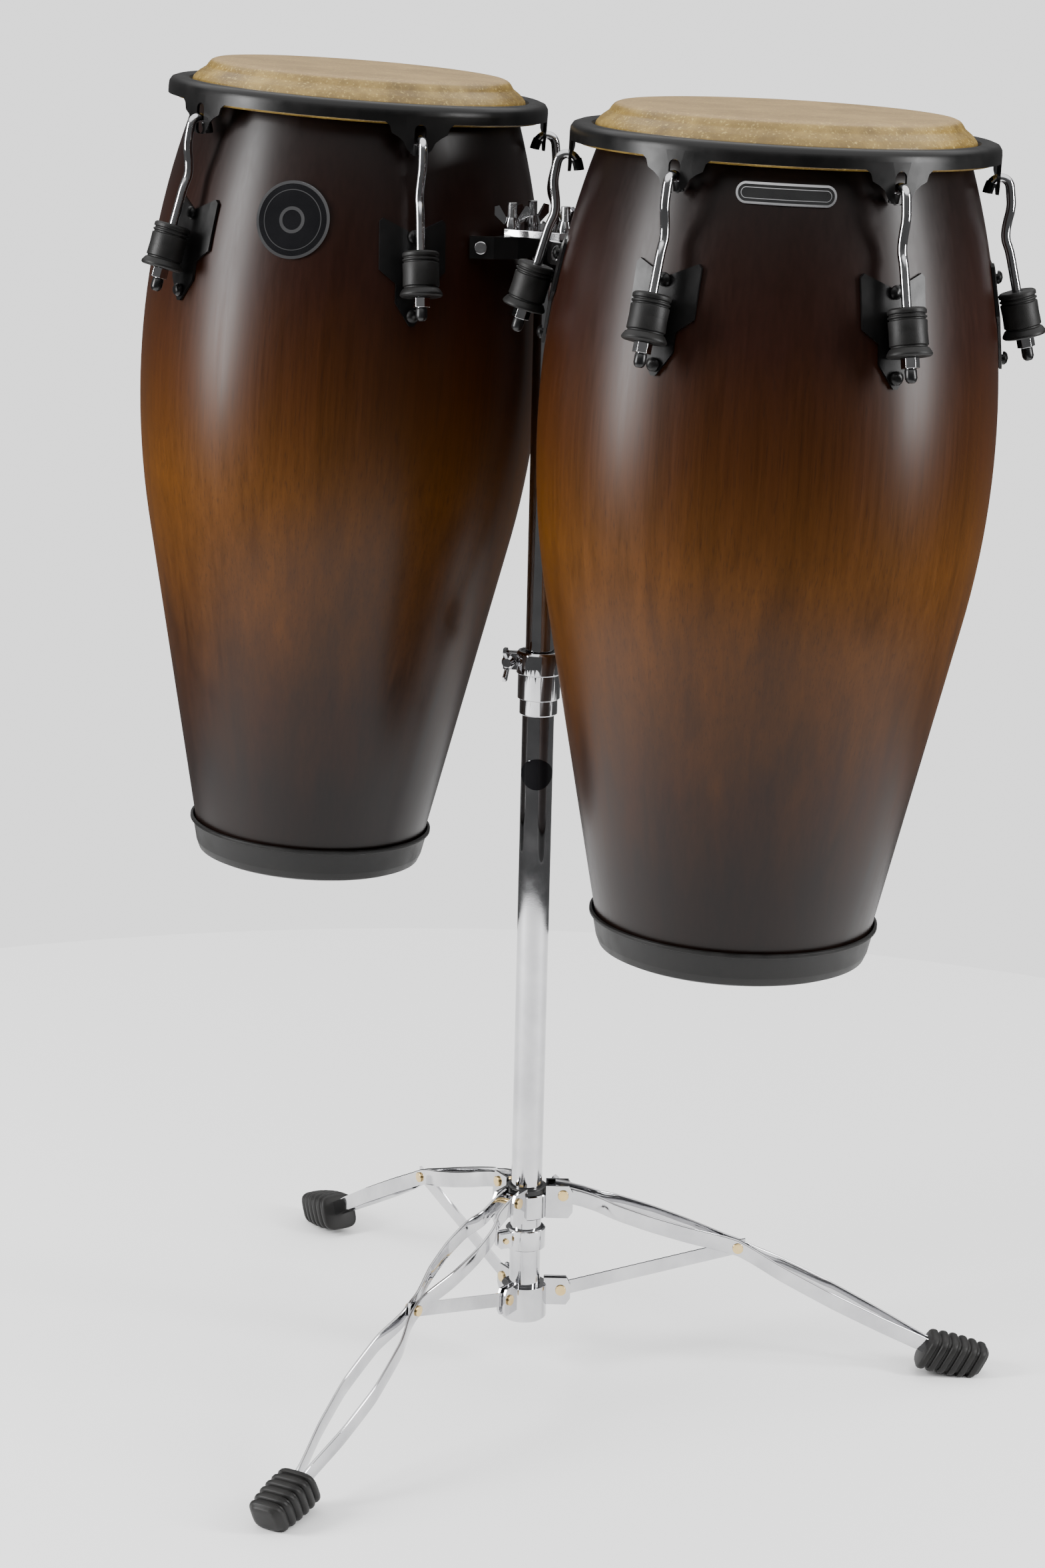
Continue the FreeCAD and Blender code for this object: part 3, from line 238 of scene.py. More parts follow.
def addBump(tree, shader, height, strength, distance):
    bump = put(tree, "ShaderNodeBump", {"Height": height, "Strength": strength,
                                         "Distance": distance})
    tree.links.new(bump.outputs[0], shader.inputs["Normal"])


# the lacquer from the foot to the head, dark at both ends; the sway moves its bands with the figure
woodLook = {
    "gloss": 0.23, "rough": (0.30, 0.40), "sway": 0.10, "tone": (0.66, 1.28), "poreDepth": 0.35,
    "pore": (0.010, 0.004, 0.002, 1.0), "bump": -0.06, "bumpDepth": 0.0004,
    "burst": [(0.0, (0.0056, 0.0030, 0.0023)), (0.11, (0.0085, 0.0036, 0.0024)),
              (0.23, (0.0240, 0.0080, 0.0024)), (0.37, (0.0580, 0.0195, 0.0024)),
              (0.50, (0.0780, 0.0265, 0.0022)), (0.63, (0.0440, 0.0130, 0.0018)),
              (0.76, (0.0180, 0.0044, 0.0016)), (0.90, (0.0072, 0.0020, 0.0012)),
              (1.0, (0.0042, 0.0015, 0.0011))],
}
bareLook = {"rough": 0.7, "stops": [(0.5, (0.20, 0.10, 0.045)), (1.0, (0.40, 0.24, 0.12))],
            "bump": 0.15, "bumpDepth": 0.0006}
skinLook = {
    "broad": {"Fine": 420.0, "Coarse": 26.0}, "small": {"Fine": 900.0, "Coarse": 90.0},
    "turnFrom": 0.7072, "turnTo": 0.7098, "rough": (0.34, 0.52), "bump": 0.25, "bumpDepth": 0.0008,
    "collar": [(0.0, (0.125, 0.074, 0.012)), (0.5, (0.21, 0.132, 0.025)),
               (1.0, (0.33, 0.218, 0.050))],
    "top": [(0.0, (0.25, 0.160, 0.060)), (1.0, (0.34, 0.226, 0.088))],
    "pale": (0.60, 0.45, 0.15, 1.0), "paleShare": 0.55,
    "dark": (0.13, 0.065, 0.018, 1.0), "darkShare": 0.5,
}


def woodFinish(drum):
    look = woodLook
    material, tree, shader = startMaterial(drum + " sunburst lacquer", 0.34)
    shader.inputs["Specular IOR Level"].default_value = look["gloss"]
    vector = objectVector(tree, drum)
    field = useGroup(tree, grain, vector)
    share = spread(tree, heightOf(tree, vector), 0.0, build["height"] * mm)
    swayed = maths(tree, "MULTIPLY_ADD", field["Cloud"], look["sway"], share)
    burst = ramp(tree, maths(tree, "SUBTRACT", swayed, look["sway"] / 2), look["burst"])
    tone = spread(tree, field["Tone"], 0.75, 1.5, *look["tone"])
    toned = put(tree, "ShaderNodeVectorMath", {0: burst, "Scale": tone},
                operation="SCALE").outputs[0]
    pores = maths(tree, "MULTIPLY", field["Pores"], look["poreDepth"])
    tree.links.new(mixColour(tree, pores, toned, look["pore"]), shader.inputs["Base Color"])
    rough = spread(tree, field["Tone"], 0.7, 1.6, *look["rough"])
    tree.links.new(rough, shader.inputs["Roughness"])
    addBump(tree, shader, field["Pores"], look["bump"], look["bumpDepth"])
    return material


def bareWoodFinish(drum):
    look = bareLook
    material, tree, shader = startMaterial(drum + " bare inside", look["rough"])
    field = useGroup(tree, grain, objectVector(tree, drum))
    tree.links.new(ramp(tree, field["Tone"], look["stops"]), shader.inputs["Base Color"])
    addBump(tree, shader, field["Tone"], look["bump"], look["bumpDepth"])
    return material


def skinFinish(drum):
    # golden on the collar and paler on top, with pale flecks and small dark specks
    look = skinLook
    material, tree, shader = startMaterial(drum + " thick skin", 0.42)
    vector = objectVector(tree, drum)
    broad = useGroup(tree, speckle, vector, **look["broad"])
    small = useGroup(tree, speckle, vector, **look["small"])
    onTop = spread(tree, heightOf(tree, vector), look["turnFrom"], look["turnTo"])
    base = mixColour(tree, onTop, ramp(tree, broad["Patches"], look["collar"]),
                     ramp(tree, broad["Patches"], look["top"]))
    flecks = maths(tree, "MULTIPLY", broad["Spots"], look["paleShare"])
    specks = maths(tree, "MULTIPLY", small["Spots"], look["darkShare"])
    colour = mixColour(tree, specks, mixColour(tree, flecks, base, look["pale"]), look["dark"])
    tree.links.new(colour, shader.inputs["Base Color"])
    tree.links.new(spread(tree, onTop, 0.0, 1.0, *look["rough"]), shader.inputs["Roughness"])
    addBump(tree, shader, broad["Height"], look["bump"], look["bumpDepth"])
    return material


def coatedFinish(name, dark, pale, roughness, fine, coarse, bump, metallic=0.0, vary=0.06,
                 gloss=0.5):
    material, tree, shader = startMaterial(name, roughness, metallic)
    shader.inputs["Specular IOR Level"].default_value = gloss
    field = useGroup(tree, speckle, objectVector(tree), Fine=fine, Coarse=coarse)
    colour = ramp(tree, field["Patches"], [(0.0, dark), (1.0, pale)])
    rough = spread(tree, field["Patches"], 0.0, 1.0, max(roughness - vary, 0.02), roughness + vary)
    tree.links.new(colour, shader.inputs["Base Color"])
    tree.links.new(rough, shader.inputs["Roughness"])
    addBump(tree, shader, field["Height"], bump, 0.0004)
    return material


finishes = {
    "black_metal": coatedFinish(
        "black powder coat", dark=(0.003, 0.003, 0.003), pale=(0.006, 0.0055, 0.0055),
        roughness=0.34, fine=1500.0, coarse=30.0, bump=0.10, gloss=0.24),
    "chrome": coatedFinish(
        "polished chrome", dark=(0.46, 0.46, 0.475), pale=(0.60, 0.60, 0.61), roughness=0.07,
        fine=900.0, coarse=22.0, bump=0.012, metallic=1.0, vary=0.03),
    "steel": coatedFinish(
        "zinc steel", dark=(0.42, 0.42, 0.43), pale=(0.58, 0.58, 0.58), roughness=0.26,
        fine=900.0, coarse=60.0, bump=0.05, metallic=1.0),
    "black_rubber": coatedFinish(
        "black rubber", dark=(0.0040, 0.0038, 0.0036), pale=(0.0100, 0.0095, 0.0090),
        roughness=0.50, fine=1200.0, coarse=45.0, bump=0.30, gloss=0.28),
    "black_plastic": coatedFinish(
        "black plastic", dark=(0.004, 0.004, 0.0045), pale=(0.008, 0.008, 0.0085), roughness=0.30,
        fine=1100.0, coarse=35.0, bump=0.10, gloss=0.4),
    "brass": coatedFinish(
        "brass", dark=(0.62, 0.44, 0.18), pale=(0.74, 0.56, 0.28), roughness=0.22,
        fine=900.0, coarse=60.0, bump=0.04, metallic=1.0),
    "badge_enamel": coatedFinish(
        "black enamel", dark=(0.004, 0.004, 0.005), pale=(0.007, 0.007, 0.008), roughness=0.10,
        fine=500.0, coarse=20.0, bump=0.01),
}
woods = {drum: woodFinish(drum) for drum in drums}
bareWoods = {drum: bareWoodFinish(drum) for drum in drums}
skins = {drum: skinFinish(drum) for drum in drums}
print("finishes ready")


# mesh helpers
def finishPiece(name, mesh, materials, smooth=35.0):
    for material in materials:
        mesh.materials.append(material)
    mesh.shade_smooth()
    if smooth:
        mesh.set_sharp_from_angle(angle=math.radians(smooth))
    piece = bpy.data.objects.new(name, mesh)
    bpy.context.scene.collection.objects.link(piece)
    return piece


def toMesh(name, bm):
    mesh = bpy.data.meshes.new(name)
    bm.to_mesh(mesh)
    bm.free()
    return mesh


def spinProfile(points, steps, closed=True, rounding=0.0, roundSteps=3):
    # points are (radius, height); a closed outline makes a ring,
    # an open one starts and ends on the axis
    bm = bmesh.new()
    corners = [bm.verts.new((x, 0, z)) for x, z in points]
    count = len(corners)
    for i in range(count if closed else count - 1):
        bm.edges.new((corners[i], corners[(i + 1) % count]))
    if rounding:
        inner = [v for v in bm.verts if len(v.link_edges) == 2]
        bmesh.ops.bevel(bm, geom=inner, offset=rounding, offset_type="OFFSET", affect="VERTICES",
                        segments=roundSteps, profile=0.5, clamp_overlap=True, material=-1)
    bmesh.ops.spin(bm, geom=bm.verts[:] + bm.edges[:], cent=(0, 0, 0), axis=(0, 0, 1),
                   angle=2 * math.pi, steps=steps, use_merge=True)
    bmesh.ops.remove_doubles(bm, verts=bm.verts, dist=1e-4)
    bmesh.ops.recalc_face_normals(bm, faces=bm.faces)
    return bm


def repeatShape(bm, matrices):
    stamp = toMesh("stamp", bm)
    joined = bmesh.new()
    for matrix in matrices:
        one = stamp.copy()
        one.transform(matrix)
        joined.from_mesh(one)
        bpy.data.meshes.remove(one)
    bpy.data.meshes.remove(stamp)
    return joined


def newCurve(name, depth, depthSteps, steps, routes):
    # smooth lines through the control points; each route is a list of places
    line = bpy.data.curves.new(name, "CURVE")
    line.dimensions = "3D"
    line.bevel_depth = depth
    line.bevel_resolution = depthSteps
    line.resolution_u = steps
    line.use_fill_caps = True
    for route in routes:
        spline = line.splines.new("NURBS")
        spline.points.add(len(route) - 1)
        for point, place in zip(spline.points, route):
            point.co = (*place, 1.0)
        spline.order_u = 3
        spline.use_endpoint_u = True
    return line


def curveMesh(line):
    holder = bpy.data.objects.new(line.name, line)
    bpy.context.scene.collection.objects.link(holder)
    bpy.context.view_layer.update()
    mesh = bpy.data.meshes.new_from_object(holder)
    bpy.data.objects.remove(holder)
    mesh.materials.clear()
    return mesh


def stateRide(piece, node):
    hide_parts(node)
    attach(piece, bodyOf[node])


copyLook = {"merge": 1e-5, "flat": 0.6, "sharp": 32.0, "cuts": 2}


def tidyCopy(node, slot, edge=0.0):
    # the node's own shape with its seams closed, smooth faces and softened edges
    bm = bmesh.new()
    bm.from_mesh(nodes[node].data)
    bmesh.ops.remove_doubles(bm, verts=bm.verts, dist=copyLook["merge"])
    bmesh.ops.dissolve_limit(bm, angle_limit=math.radians(copyLook["flat"]), verts=bm.verts,
                             edges=bm.edges)
    piece = finishPiece(node + "_finished", toMesh(node, bm), [finishes[slot]], copyLook["sharp"])
    if edge:
        soft = piece.modifiers.new("soft edges", "BEVEL")
        soft.width = edge * mm
        soft.segments = copyLook["cuts"]
        soft.limit_method = "ANGLE"
        soft.angle_limit = math.radians(copyLook["sharp"])
        soft.harden_normals = True
    stateRide(piece, node)


shellLook = {"steps": 160, "rows": 46, "lip": 1.2, "slope": 1.4}


def makeShell(drum):
    rows, lip, slope = shellLook["rows"], shellLook["lip"], shellLook["slope"]
    levels = [lip + (build["shellTop"] - 2 * lip) * i / rows for i in range(rows + 1)]
    outer = [(wallRadius(drum, level), level) for level in levels]
    inner = [(wallRadius(drum, level, build["wall"]), level) for level in reversed(levels)]
    low = [(inner[-1][0] + slope, 0.0), (outer[0][0] - slope, 0.0)]
    high = [(outer[-1][0] - slope, build["shellTop"]), (inner[0][0] + slope, build["shellTop"])]
    bm = spinProfile(outer + high + inner + low, shellLook["steps"])
    for face in bm.faces:
        middle = face.calc_center_median()
        outward = face.normal.x * middle.x + face.normal.y * middle.y
        face.material_index = 0 if outward > 0 else 1
    bm.transform(drumMatrix(drum))
    piece = finishPiece(drum + "_staves", toMesh(drum + "_staves", bm),
                        [woods[drum], bareWoods[drum]])
    stateRide(piece, drum + "_shell")


# a softly crowned skin, a round shoulder, a sloped collar and the tuck under the hoop;
# crown and under are measured from the shell's edge, tuck from the rim
headLook = {
    "steps": 160, "rounding": 0.9, "middle": [(0.0, 711.0), (60.0, 710.96)], "underMiddle": 708.8,
    "crown": [(-24.0, 710.85), (-10.0, 710.6), (-4.5, 710.0), (-0.6, 708.4), (2.0, 705.4),
              (3.6, 702.6)],
    "collarRim": -17.3, "collarOut": 1.0, "collarLevel": 698.0,
    "tuck": [(-20.9, 693.0), (-19.9, 687.0), (-15.0, 681.5), (-13.8, 678.6), (-7.6, 678.2),
             (-6.0, 681.0), (-4.2, 681.0), (-4.4, 677.4), (-7.5, 675.6), (-15.0, 676.0),
             (-17.4, 680.5), (-22.0, 686.4)],
    "under": [(0.6, 705.2), (0.2, 707.0), (-2.0, 708.6)],
}


def makeHead(drum):
    edge = wallRadius(drum, build["shellTop"])
    rim = drums[drum]["rim"]
    collar = (edge + rim + headLook["collarRim"]) / 2 + headLook["collarOut"]
    outline = (headLook["middle"] + [(edge + x, z) for x, z in headLook["crown"]]
               + [(collar, headLook["collarLevel"])] + [(rim + x, z) for x, z in headLook["tuck"]]
               + [(edge + x, z) for x, z in headLook["under"]] + [(0.0, headLook["underMiddle"])])
    bm = spinProfile(outline, headLook["steps"], closed=False, rounding=headLook["rounding"],
                     roundSteps=2)
    bm.transform(drumMatrix(drum))
    piece = finishPiece(drum + "_skin", toMesh(drum + "_skin", bm), [skins[drum]], 50.0)
    stateRide(piece, drum + "_head")


# the outline is measured from the shell's foot
ringLook = {"steps": 144, "rounding": 0.8,
            "outline": [(-12.0, -5.0), (-5.0, -5.0), (0.5, -2.6), (3.2, 4.0), (7.11, 22.6),
                        (9.79, 23.6), (9.79, 26.4), (7.79, 27.0), (7.35, 27.0), (0.6, -0.3),
                        (-12.0, -0.3)]}


def makeBaseRing(drum):
    outline = [(drums[drum]["foot"] + x, z) for x, z in ringLook["outline"]]
    bm = spinProfile(outline, ringLook["steps"], rounding=ringLook["rounding"])
    bm.transform(drumMatrix(drum))
    piece = finishPiece(drum + "_foot_rubber", toMesh(drum + "_foot_rubber", bm),
                        [finishes["black_rubber"]])
    stateRide(piece, drum + "_base_ring")


lugLook = {"barrelLevel": 573.5, "barrel": 38.0, "radius": 15.6, "flare": 18.2, "lean": 14.7,
           "out": 22.6, "sheet": 2.6}


def earRadius(drum):
    return drums[drum]["rim"] - lugLook["sheet"] / 2


def barrelMatrices(drum):
    local = (Matrix.Translation((earRadius(drum) + lugLook["out"], 0, lugLook["barrelLevel"]))
             @ Matrix.Rotation(-math.radians(lugLook["lean"]), 4, "Y"))
    return [matrix @ local for matrix in lugMatrices(drum)]


# start and neck are (out from the ear, level); along runs down the barrel from its top
rodLook = {"radius": 3.9, "tipExtra": 0.5, "smooth": 50.0, "reach": 8.72, "centre": (2.2, 656.5),
           "hook": (150, 110, 70, 30), "start": [(-8.0, 652.0), (-7.5, 655.5)],
           "neck": [(11.2, 652.0), (12.6, 641.0), (10.0, 628.0), (9.4, 616.0)],
           "along": (-34.0, -20.0, 0.0, 30.0, 52.0), "tipPoints": 3}


def bentRods(name, drum, route, radius, material):
    # one smooth bent rod for each lug
    routes = [[matrix @ place for place in route] for matrix in lugMatrices(drum)]
    line = newCurve(name, radius * mm, 5, 8, routes)
    return finishPiece(name, curveMesh(line), [material], rodLook["smooth"])


def makeRods(drum):
    ear = earRadius(drum)
    lean = math.radians(lugLook["lean"])
    top = Vector((ear + lugLook["out"], 0, lugLook["barrelLevel"]))
    down = Vector((math.sin(lean), 0, -math.cos(lean)))
    centre = Vector((ear + rodLook["centre"][0], 0, rodLook["centre"][1]))
    route = [Vector((ear + out, 0, level)) for out, level in rodLook["start"]]
    for angle in map(math.radians, rodLook["hook"]):
        route.append(centre + Vector((math.cos(angle), 0, math.sin(angle))) * rodLook["reach"])
    route += [Vector((ear + out, 0, level)) for out, level in rodLook["neck"]]
    route += [top + down * far for far in rodLook["along"]]
    piece = bentRods(drum + "_hooks", drum, route, rodLook["radius"], finishes["chrome"])
    stateRide(piece, drum + "_tension_rods")
    # the dark spoon at the end of each hook, behind the ear
    tip = bentRods(drum + "_hook_tips", drum, route[:rodLook["tipPoints"]],
                   rodLook["radius"] + rodLook["tipExtra"], finishes["black_metal"])
    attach(tip, bodyOf[drum + "_tension_rods"])


# upper and middle are measured from the barrel's radius and top, lower from its low end
barrelLook = {"steps": 48, "rounding": 0.3, "bore": 4.2, "boreTop": (5.4, -0.6),
              "upper": [(-1.6, 0.0), (0.0, -1.4), (0.0, -4.2), (-1.3, -4.7), (-1.3, -5.9),
                        (0.0, -6.4), (0.0, -7.6), (-1.3, -8.1), (-1.3, -9.3), (0.0, -9.8),
                        (-0.3, -19.0)],
              "lower": [(0.0, 9.0), (-1.2, 8.4), (-1.2, 7.2), (0.2, 6.6)],
              "flare": [(-0.3, 3.2), (0.0, 2.2), (0.0, 1.2), (-1.4, 0.0)]}


def makeBarrels(drum):
    look, radius, low = barrelLook, lugLook["radius"], -lugLook["barrel"]
    chamfer, start = look["boreTop"]
    outline = ([(look["bore"], start), (chamfer, 0.0)] + [(radius + x, z) for x, z in look["upper"]]
               + [(radius + x, low + z) for x, z in look["lower"]]
               + [(lugLook["flare"] + x, low + z) for x, z in look["flare"]]
               + [(look["bore"], low)])
    bm = spinProfile(outline, look["steps"], rounding=look["rounding"], roundSteps=2)
    joined = repeatShape(bm, barrelMatrices(drum))
    piece = finishPiece(drum + "_rubber_barrels", toMesh(drum + "_rubber_barrels", joined),
                        [finishes["black_rubber"]])
    stateRide(piece, drum + "_lug_barrels")


# a domed cap with a bore; heights are measured down from its rim
capLook = {"steps": 28, "below": 9.2,
           "outline": [(0.0, 11.0), (2.6, 10.9), (4.0, 9.6), (4.9, 7.4), (4.9, 1.2), (4.5, 0.4),
                       (4.9, 0.2), (4.9, 0.0), (3.95, 0.0), (3.95, 5.5), (0.0, 5.5)]}


def makeCaps(drum):
    top = -lugLook["barrel"] - capLook["below"]
    bm = spinProfile([(x, top - z) for x, z in capLook["outline"]], capLook["steps"], closed=False)
    joined = repeatShape(bm, barrelMatrices(drum))
    piece = finishPiece(drum + "_end_caps", toMesh(drum + "_end_caps", joined),
                        [finishes["black_plastic"]])
    stateRide(piece, drum + "_rod_caps")


# each copied piece: ending of its name, finish, edge softening in millimetres
drumCopies = (("_flesh_hoop", "steel", 0.0), ("_rim", "black_metal", 0.0),
              ("_lug_plates", "black_metal", 0.0), ("_tuning_nuts", "chrome", 0.5),
              ("_lug_bolts", "black_metal", 0.0), ("_bracket", "black_metal", 0.8))
for drum in drums:
    makeShell(drum)
    makeHead(drum)
    makeBaseRing(drum)
    makeRods(drum)
    makeBarrels(drum)
    makeCaps(drum)
    for ending, slot, edge in drumCopies:
        tidyCopy(drum + ending, slot, edge)
    print(drum, "drum made")

# steps are (inset, push, finish); finish 0 is the bright one and 1 the dark one
badgeLook = {
    "gap": 0.7, "across": 8, "upright": 4,
    "round": {"azimuth": 288.0, "level": 590.0, "radius": 32.4, "sides": 72,
              "steps": [(0.0, 1.0, 0), (0.5, 0.18, 0), (2.0, -0.3, 1), (4.6, 0.0, 1), (0.0, 0.2, 0),
                        (0.7, -0.2, 1), (13.5, 0.0, 1), (0.0, 0.25, 0), (1.2, 0.0, 0),
                        (1.6, -0.25, 1)]},
    "plate": {"azimuth": 300.0, "level": 655.0, "half": 39.6, "radius": 8.4, "sides": 48,
              "steps": [(0.0, 0.8, 0), (0.5, 0.3, 0), (1.3, -0.4, 1), (2.2, 0.0, 1), (0.0, 0.25, 0),
                        (0.5, -0.2, 1)]},
}


def cutAlong(bm, way, reach, parts):
    for i in range(1 - parts, parts):
        bmesh.ops.bisect_plane(bm, geom=bm.verts[:] + bm.edges[:] + bm.faces[:],
                               plane_co=Vector(way) * (reach * i / parts), plane_no=way)


def wrapOnShell(bm, drum, azimuth, level):
    # flat work in millimetres (across, up, out) laid on the curve of the shell
    reach = max(abs(v.co.x) for v in bm.verts)
    tall = max(abs(v.co.y) for v in bm.verts)
    cutAlong(bm, (1, 0, 0), reach, badgeLook["across"])
    cutAlong(bm, (0, 1, 0), tall, badgeLook["upright"])
    for vertex in bm.verts:
        x, y, z = vertex.co
        radius = wallRadius(drum, level + y) + badgeLook["gap"] + z
        angle = x / (radius - z)
        vertex.co = (math.cos(angle) * radius, math.sin(angle) * radius, level + y)
    bm.transform(drumMatrix(drum, azimuth))
    bmesh.ops.recalc_face_normals(bm, faces=bm.faces)


def raisedWork(bm, steps):
    # insets one face and pushes it in or out, step by step, each with its own finish
    bm.faces.ensure_lookup_table()
    top = bm.faces[0]
    for inset, push, index in steps:
        if inset:
            bmesh.ops.inset_region(bm, faces=[top], thickness=inset, depth=0.0)
        if push:
            top = bmesh.ops.extrude_discrete_faces(bm, faces=[top])["faces"][0]
            for vertex in top.verts:
                vertex.co.z += push
        top.material_index = index


def makeRoundBadge():
    look = badgeLook["round"]
    bm = bmesh.new()
    bmesh.ops.create_circle(bm, cap_ends=True, segments=look["sides"], radius=look["radius"])
    raisedWork(bm, look["steps"])
    wrapOnShell(bm, "quinto", look["azimuth"], look["level"])
    piece = finishPiece("quinto_plain_badge", toMesh("badge", bm),
                        [finishes["chrome"], finishes["badge_enamel"]])
    stateRide(piece, "quinto_round_badge")


def makeNamePlate():
    look = badgeLook["plate"]
    bm = bmesh.new()
    bmesh.ops.create_circle(bm, cap_ends=True, segments=look["sides"], radius=look["radius"])
    for vertex in bm.verts:
        if abs(vertex.co.x) > 0.1:
            vertex.co.x += math.copysign(look["half"] - look["radius"], vertex.co.x)
    raisedWork(bm, look["steps"])
    wrapOnShell(bm, "conga", look["azimuth"], look["level"])
    piece = finishPiece("conga_plain_plate", toMesh("plate", bm),
                        [finishes["chrome"], finishes["black_plastic"]])
    stateRide(piece, "conga_name_plate")


makeRoundBadge()
makeNamePlate()

# line is the leg's fall as (distance out, level); corners are one strip's outline from above
legLook = {"line": [(26.0, 172.1), (46.0, 169.1), (197.6, 120.5), (402.0, 15.0)],
           "sheet": 2.5, "half": 8.0, "bend": 5.0, "smooth": 40.0,
           "corners": [(27.0, 7.0), (65.0, 7.0), (82.0, 14.6), (115.0, 16.0), (150.0, 12.5),
                       (185.6, 3.4), (209.6, 3.4), (236.0, 12.5), (285.0, 16.0), (330.0, 12.0),
                       (372.0, 4.0), (401.0, 4.0)]}


def legLevel(x):
    line = legLook["line"]
    for (x0, z0), (x1, z1) in zip(line, line[1:]):
        if x <= x1 or (x1, z1) == line[-1]:
            return z0 + (z1 - z0) * (x - x0) / (x1 - x0)


def makeStraps(index):
    corners = [Vector(corner) for corner in legLook["corners"]]
    stations = [corners[0]]
    for before, here, after in zip(corners, corners[1:], corners[2:]):
        for other in (before, after):
            gap = other - here
            stations.append(here + gap.normalized() * min(legLook["bend"], gap.length / 3))
    stations.append(corners[-1])
    routes = [[(x, side * y, 0) for x, y in stations] for side in (1, -1)]
    line = newCurve("strips", legLook["sheet"] / 2, 2, 4, routes)
    line.extrude = legLook["half"] - legLook["sheet"] / 2
    line.twist_mode = "Z_UP"
    mesh = curveMesh(line)
    for vertex in mesh.vertices:
        vertex.co.z += legLevel(vertex.co.x)
    mesh.transform(legMatrix(index))
    piece = finishPiece("leg_%d_strips" % index, mesh, [finishes["chrome"]], legLook["smooth"])
    stateRide(piece, "leg_%d_straps" % index)


# one rib is (place along the rib, size); the tip closes the far end
footLook = {"sides": 28, "square": 0.55, "ribs": 6, "inner": -27.0, "outer": 28.5, "width": 19.0,
            "lift": 18.6, "level": 24.0, "drop": 12.0, "narrow": 0.84, "smooth": 50.0,
            "rib": ((0.0, 0.86), (0.10, 0.97), (0.24, 1.0), (0.52, 1.0), (0.66, 0.97),
                    (0.78, 0.86)),
            "tip": [(1.0, 0.80), (1.015, 0.60)]}


def makeFoot(index):
    # a ribbed rubber boot: a rounded square pushed out step by step along the leg's fall
    look = footLook
    (kneeX, kneeZ), (toeX, toeZ) = legLook["line"][-2:]
    fall = math.atan2(kneeZ - toeZ, toeX - kneeX)
    up = Vector((math.sin(fall), 0, math.cos(fall)))
    length = look["outer"] - look["inner"]
    bm = bmesh.new()
    bmesh.ops.create_circle(bm, cap_ends=True, segments=look["sides"], radius=1.0)
    bm.faces.ensure_lookup_table()
    top = bm.faces[0]
    outline = [[math.copysign(abs(value) ** look["square"], value)
                for value in (vertex.co.y, -vertex.co.x)] for vertex in top.verts]

    def shapeLoop(t, size):
        centre = Vector((toeX + look["inner"] + length * t, 0, look["level"] - look["drop"] * t))
        swell = (1 - look["narrow"]) * math.sin(math.pi * min(1.0, 0.25 + 0.75 * t))
        size *= look["narrow"] + swell
        for vertex, (side, lift) in zip(top.verts, outline):
            vertex.co = (centre + Vector((0, side * look["width"] * size, 0))
                         + up * lift * look["lift"] * size)

    steps = [((rib + part) / look["ribs"], size) for rib in range(look["ribs"])
             for part, size in look["rib"]] + look["tip"]
    shapeLoop(*steps[0])
    for t, size in steps[1:]:
        top = bmesh.ops.extrude_discrete_faces(bm, faces=[top])["faces"][0]
        shapeLoop(t, size)
    bmesh.ops.holes_fill(bm, edges=bm.edges, sides=0)
    bmesh.ops.recalc_face_normals(bm, faces=bm.faces)
    for vertex in bm.verts:
        vertex.co.z = max(vertex.co.z, 0.0)
    bm.transform(legMatrix(index))
    piece = finishPiece("foot_%d_boot" % index, toMesh("boot", bm), [finishes["black_rubber"]],
                        look["smooth"])
    stateRide(piece, "foot_%d" % index)


standCopies = (("crossbar", "chrome", 0.8), ("crossbar_studs", "steel", 0.4),
               ("bracket_bolts", "steel", 1.0), ("tilter_tongue", "black_metal", 0.8),
               ("tilt_bolt", "chrome", 0.6), ("upper_tube", "chrome", 0.0),
               ("lower_tube", "chrome", 0.0), ("clamp_bush", "black_plastic", 0.0),
               ("height_clamp", "chrome", 0.6), ("clamp_wing_screw", "chrome", 0.7),
               ("tube_badge", "badge_enamel", 0.0), ("upper_hub", "chrome", 0.6),
               ("hub_ring", "black_plastic", 0.4), ("hub_bolt", "chrome", 0.6),
               ("lower_hub", "chrome", 0.6), ("lower_hub_rivets", "brass", 0.4),
               ("memory_lock", "chrome", 0.6), ("memory_lock_screw", "brass", 0.4))
for index in (1, 2, 3):
    makeStraps(index)
    makeFoot(index)
    tidyCopy("leg_%d_rivets" % index, "brass", 0.6)
    tidyCopy("brace_%d" % index, "chrome", 0.5)
for node, slot, edge in standCopies:
    tidyCopy(node, slot, edge)
for index in (1, 2, 3, 4):
    tidyCopy("wing_nut_%d" % index, "chrome", 0.7)
print("stand made")

# boxes are (name, swing round from the camera's side, distance, lift, width, height, watts)
studio = {"room": 2.2, "paper": 1.7, "centre": (0.0, 0.05, 0.95), "viewFrom": (1.67, -2.6),
          "sky": [(0.0, (0.05, 0.05, 0.05)), (0.42, (0.09, 0.09, 0.09)), (0.62, (1.0, 1.0, 1.0))],
          "boxes": (("left box", -72, 2.3, 0.42, 0.55, 1.5, 84.0),
                    ("right box", 70, 2.4, 0.42, 0.42, 1.4, 64.0))}
floorLook = {"sides": 96, "radius": 1.55, "rough": 0.75, "colour": (0.93, 0.93, 0.93, 1.0)}
cameraLook = {"place": (1.6703, -2.5624, 1.3311), "ahead": (-0.5248, 0.8172, -0.2384),
              "roll": 0.0237, "lens": 82.6, "sensor": 36.0}


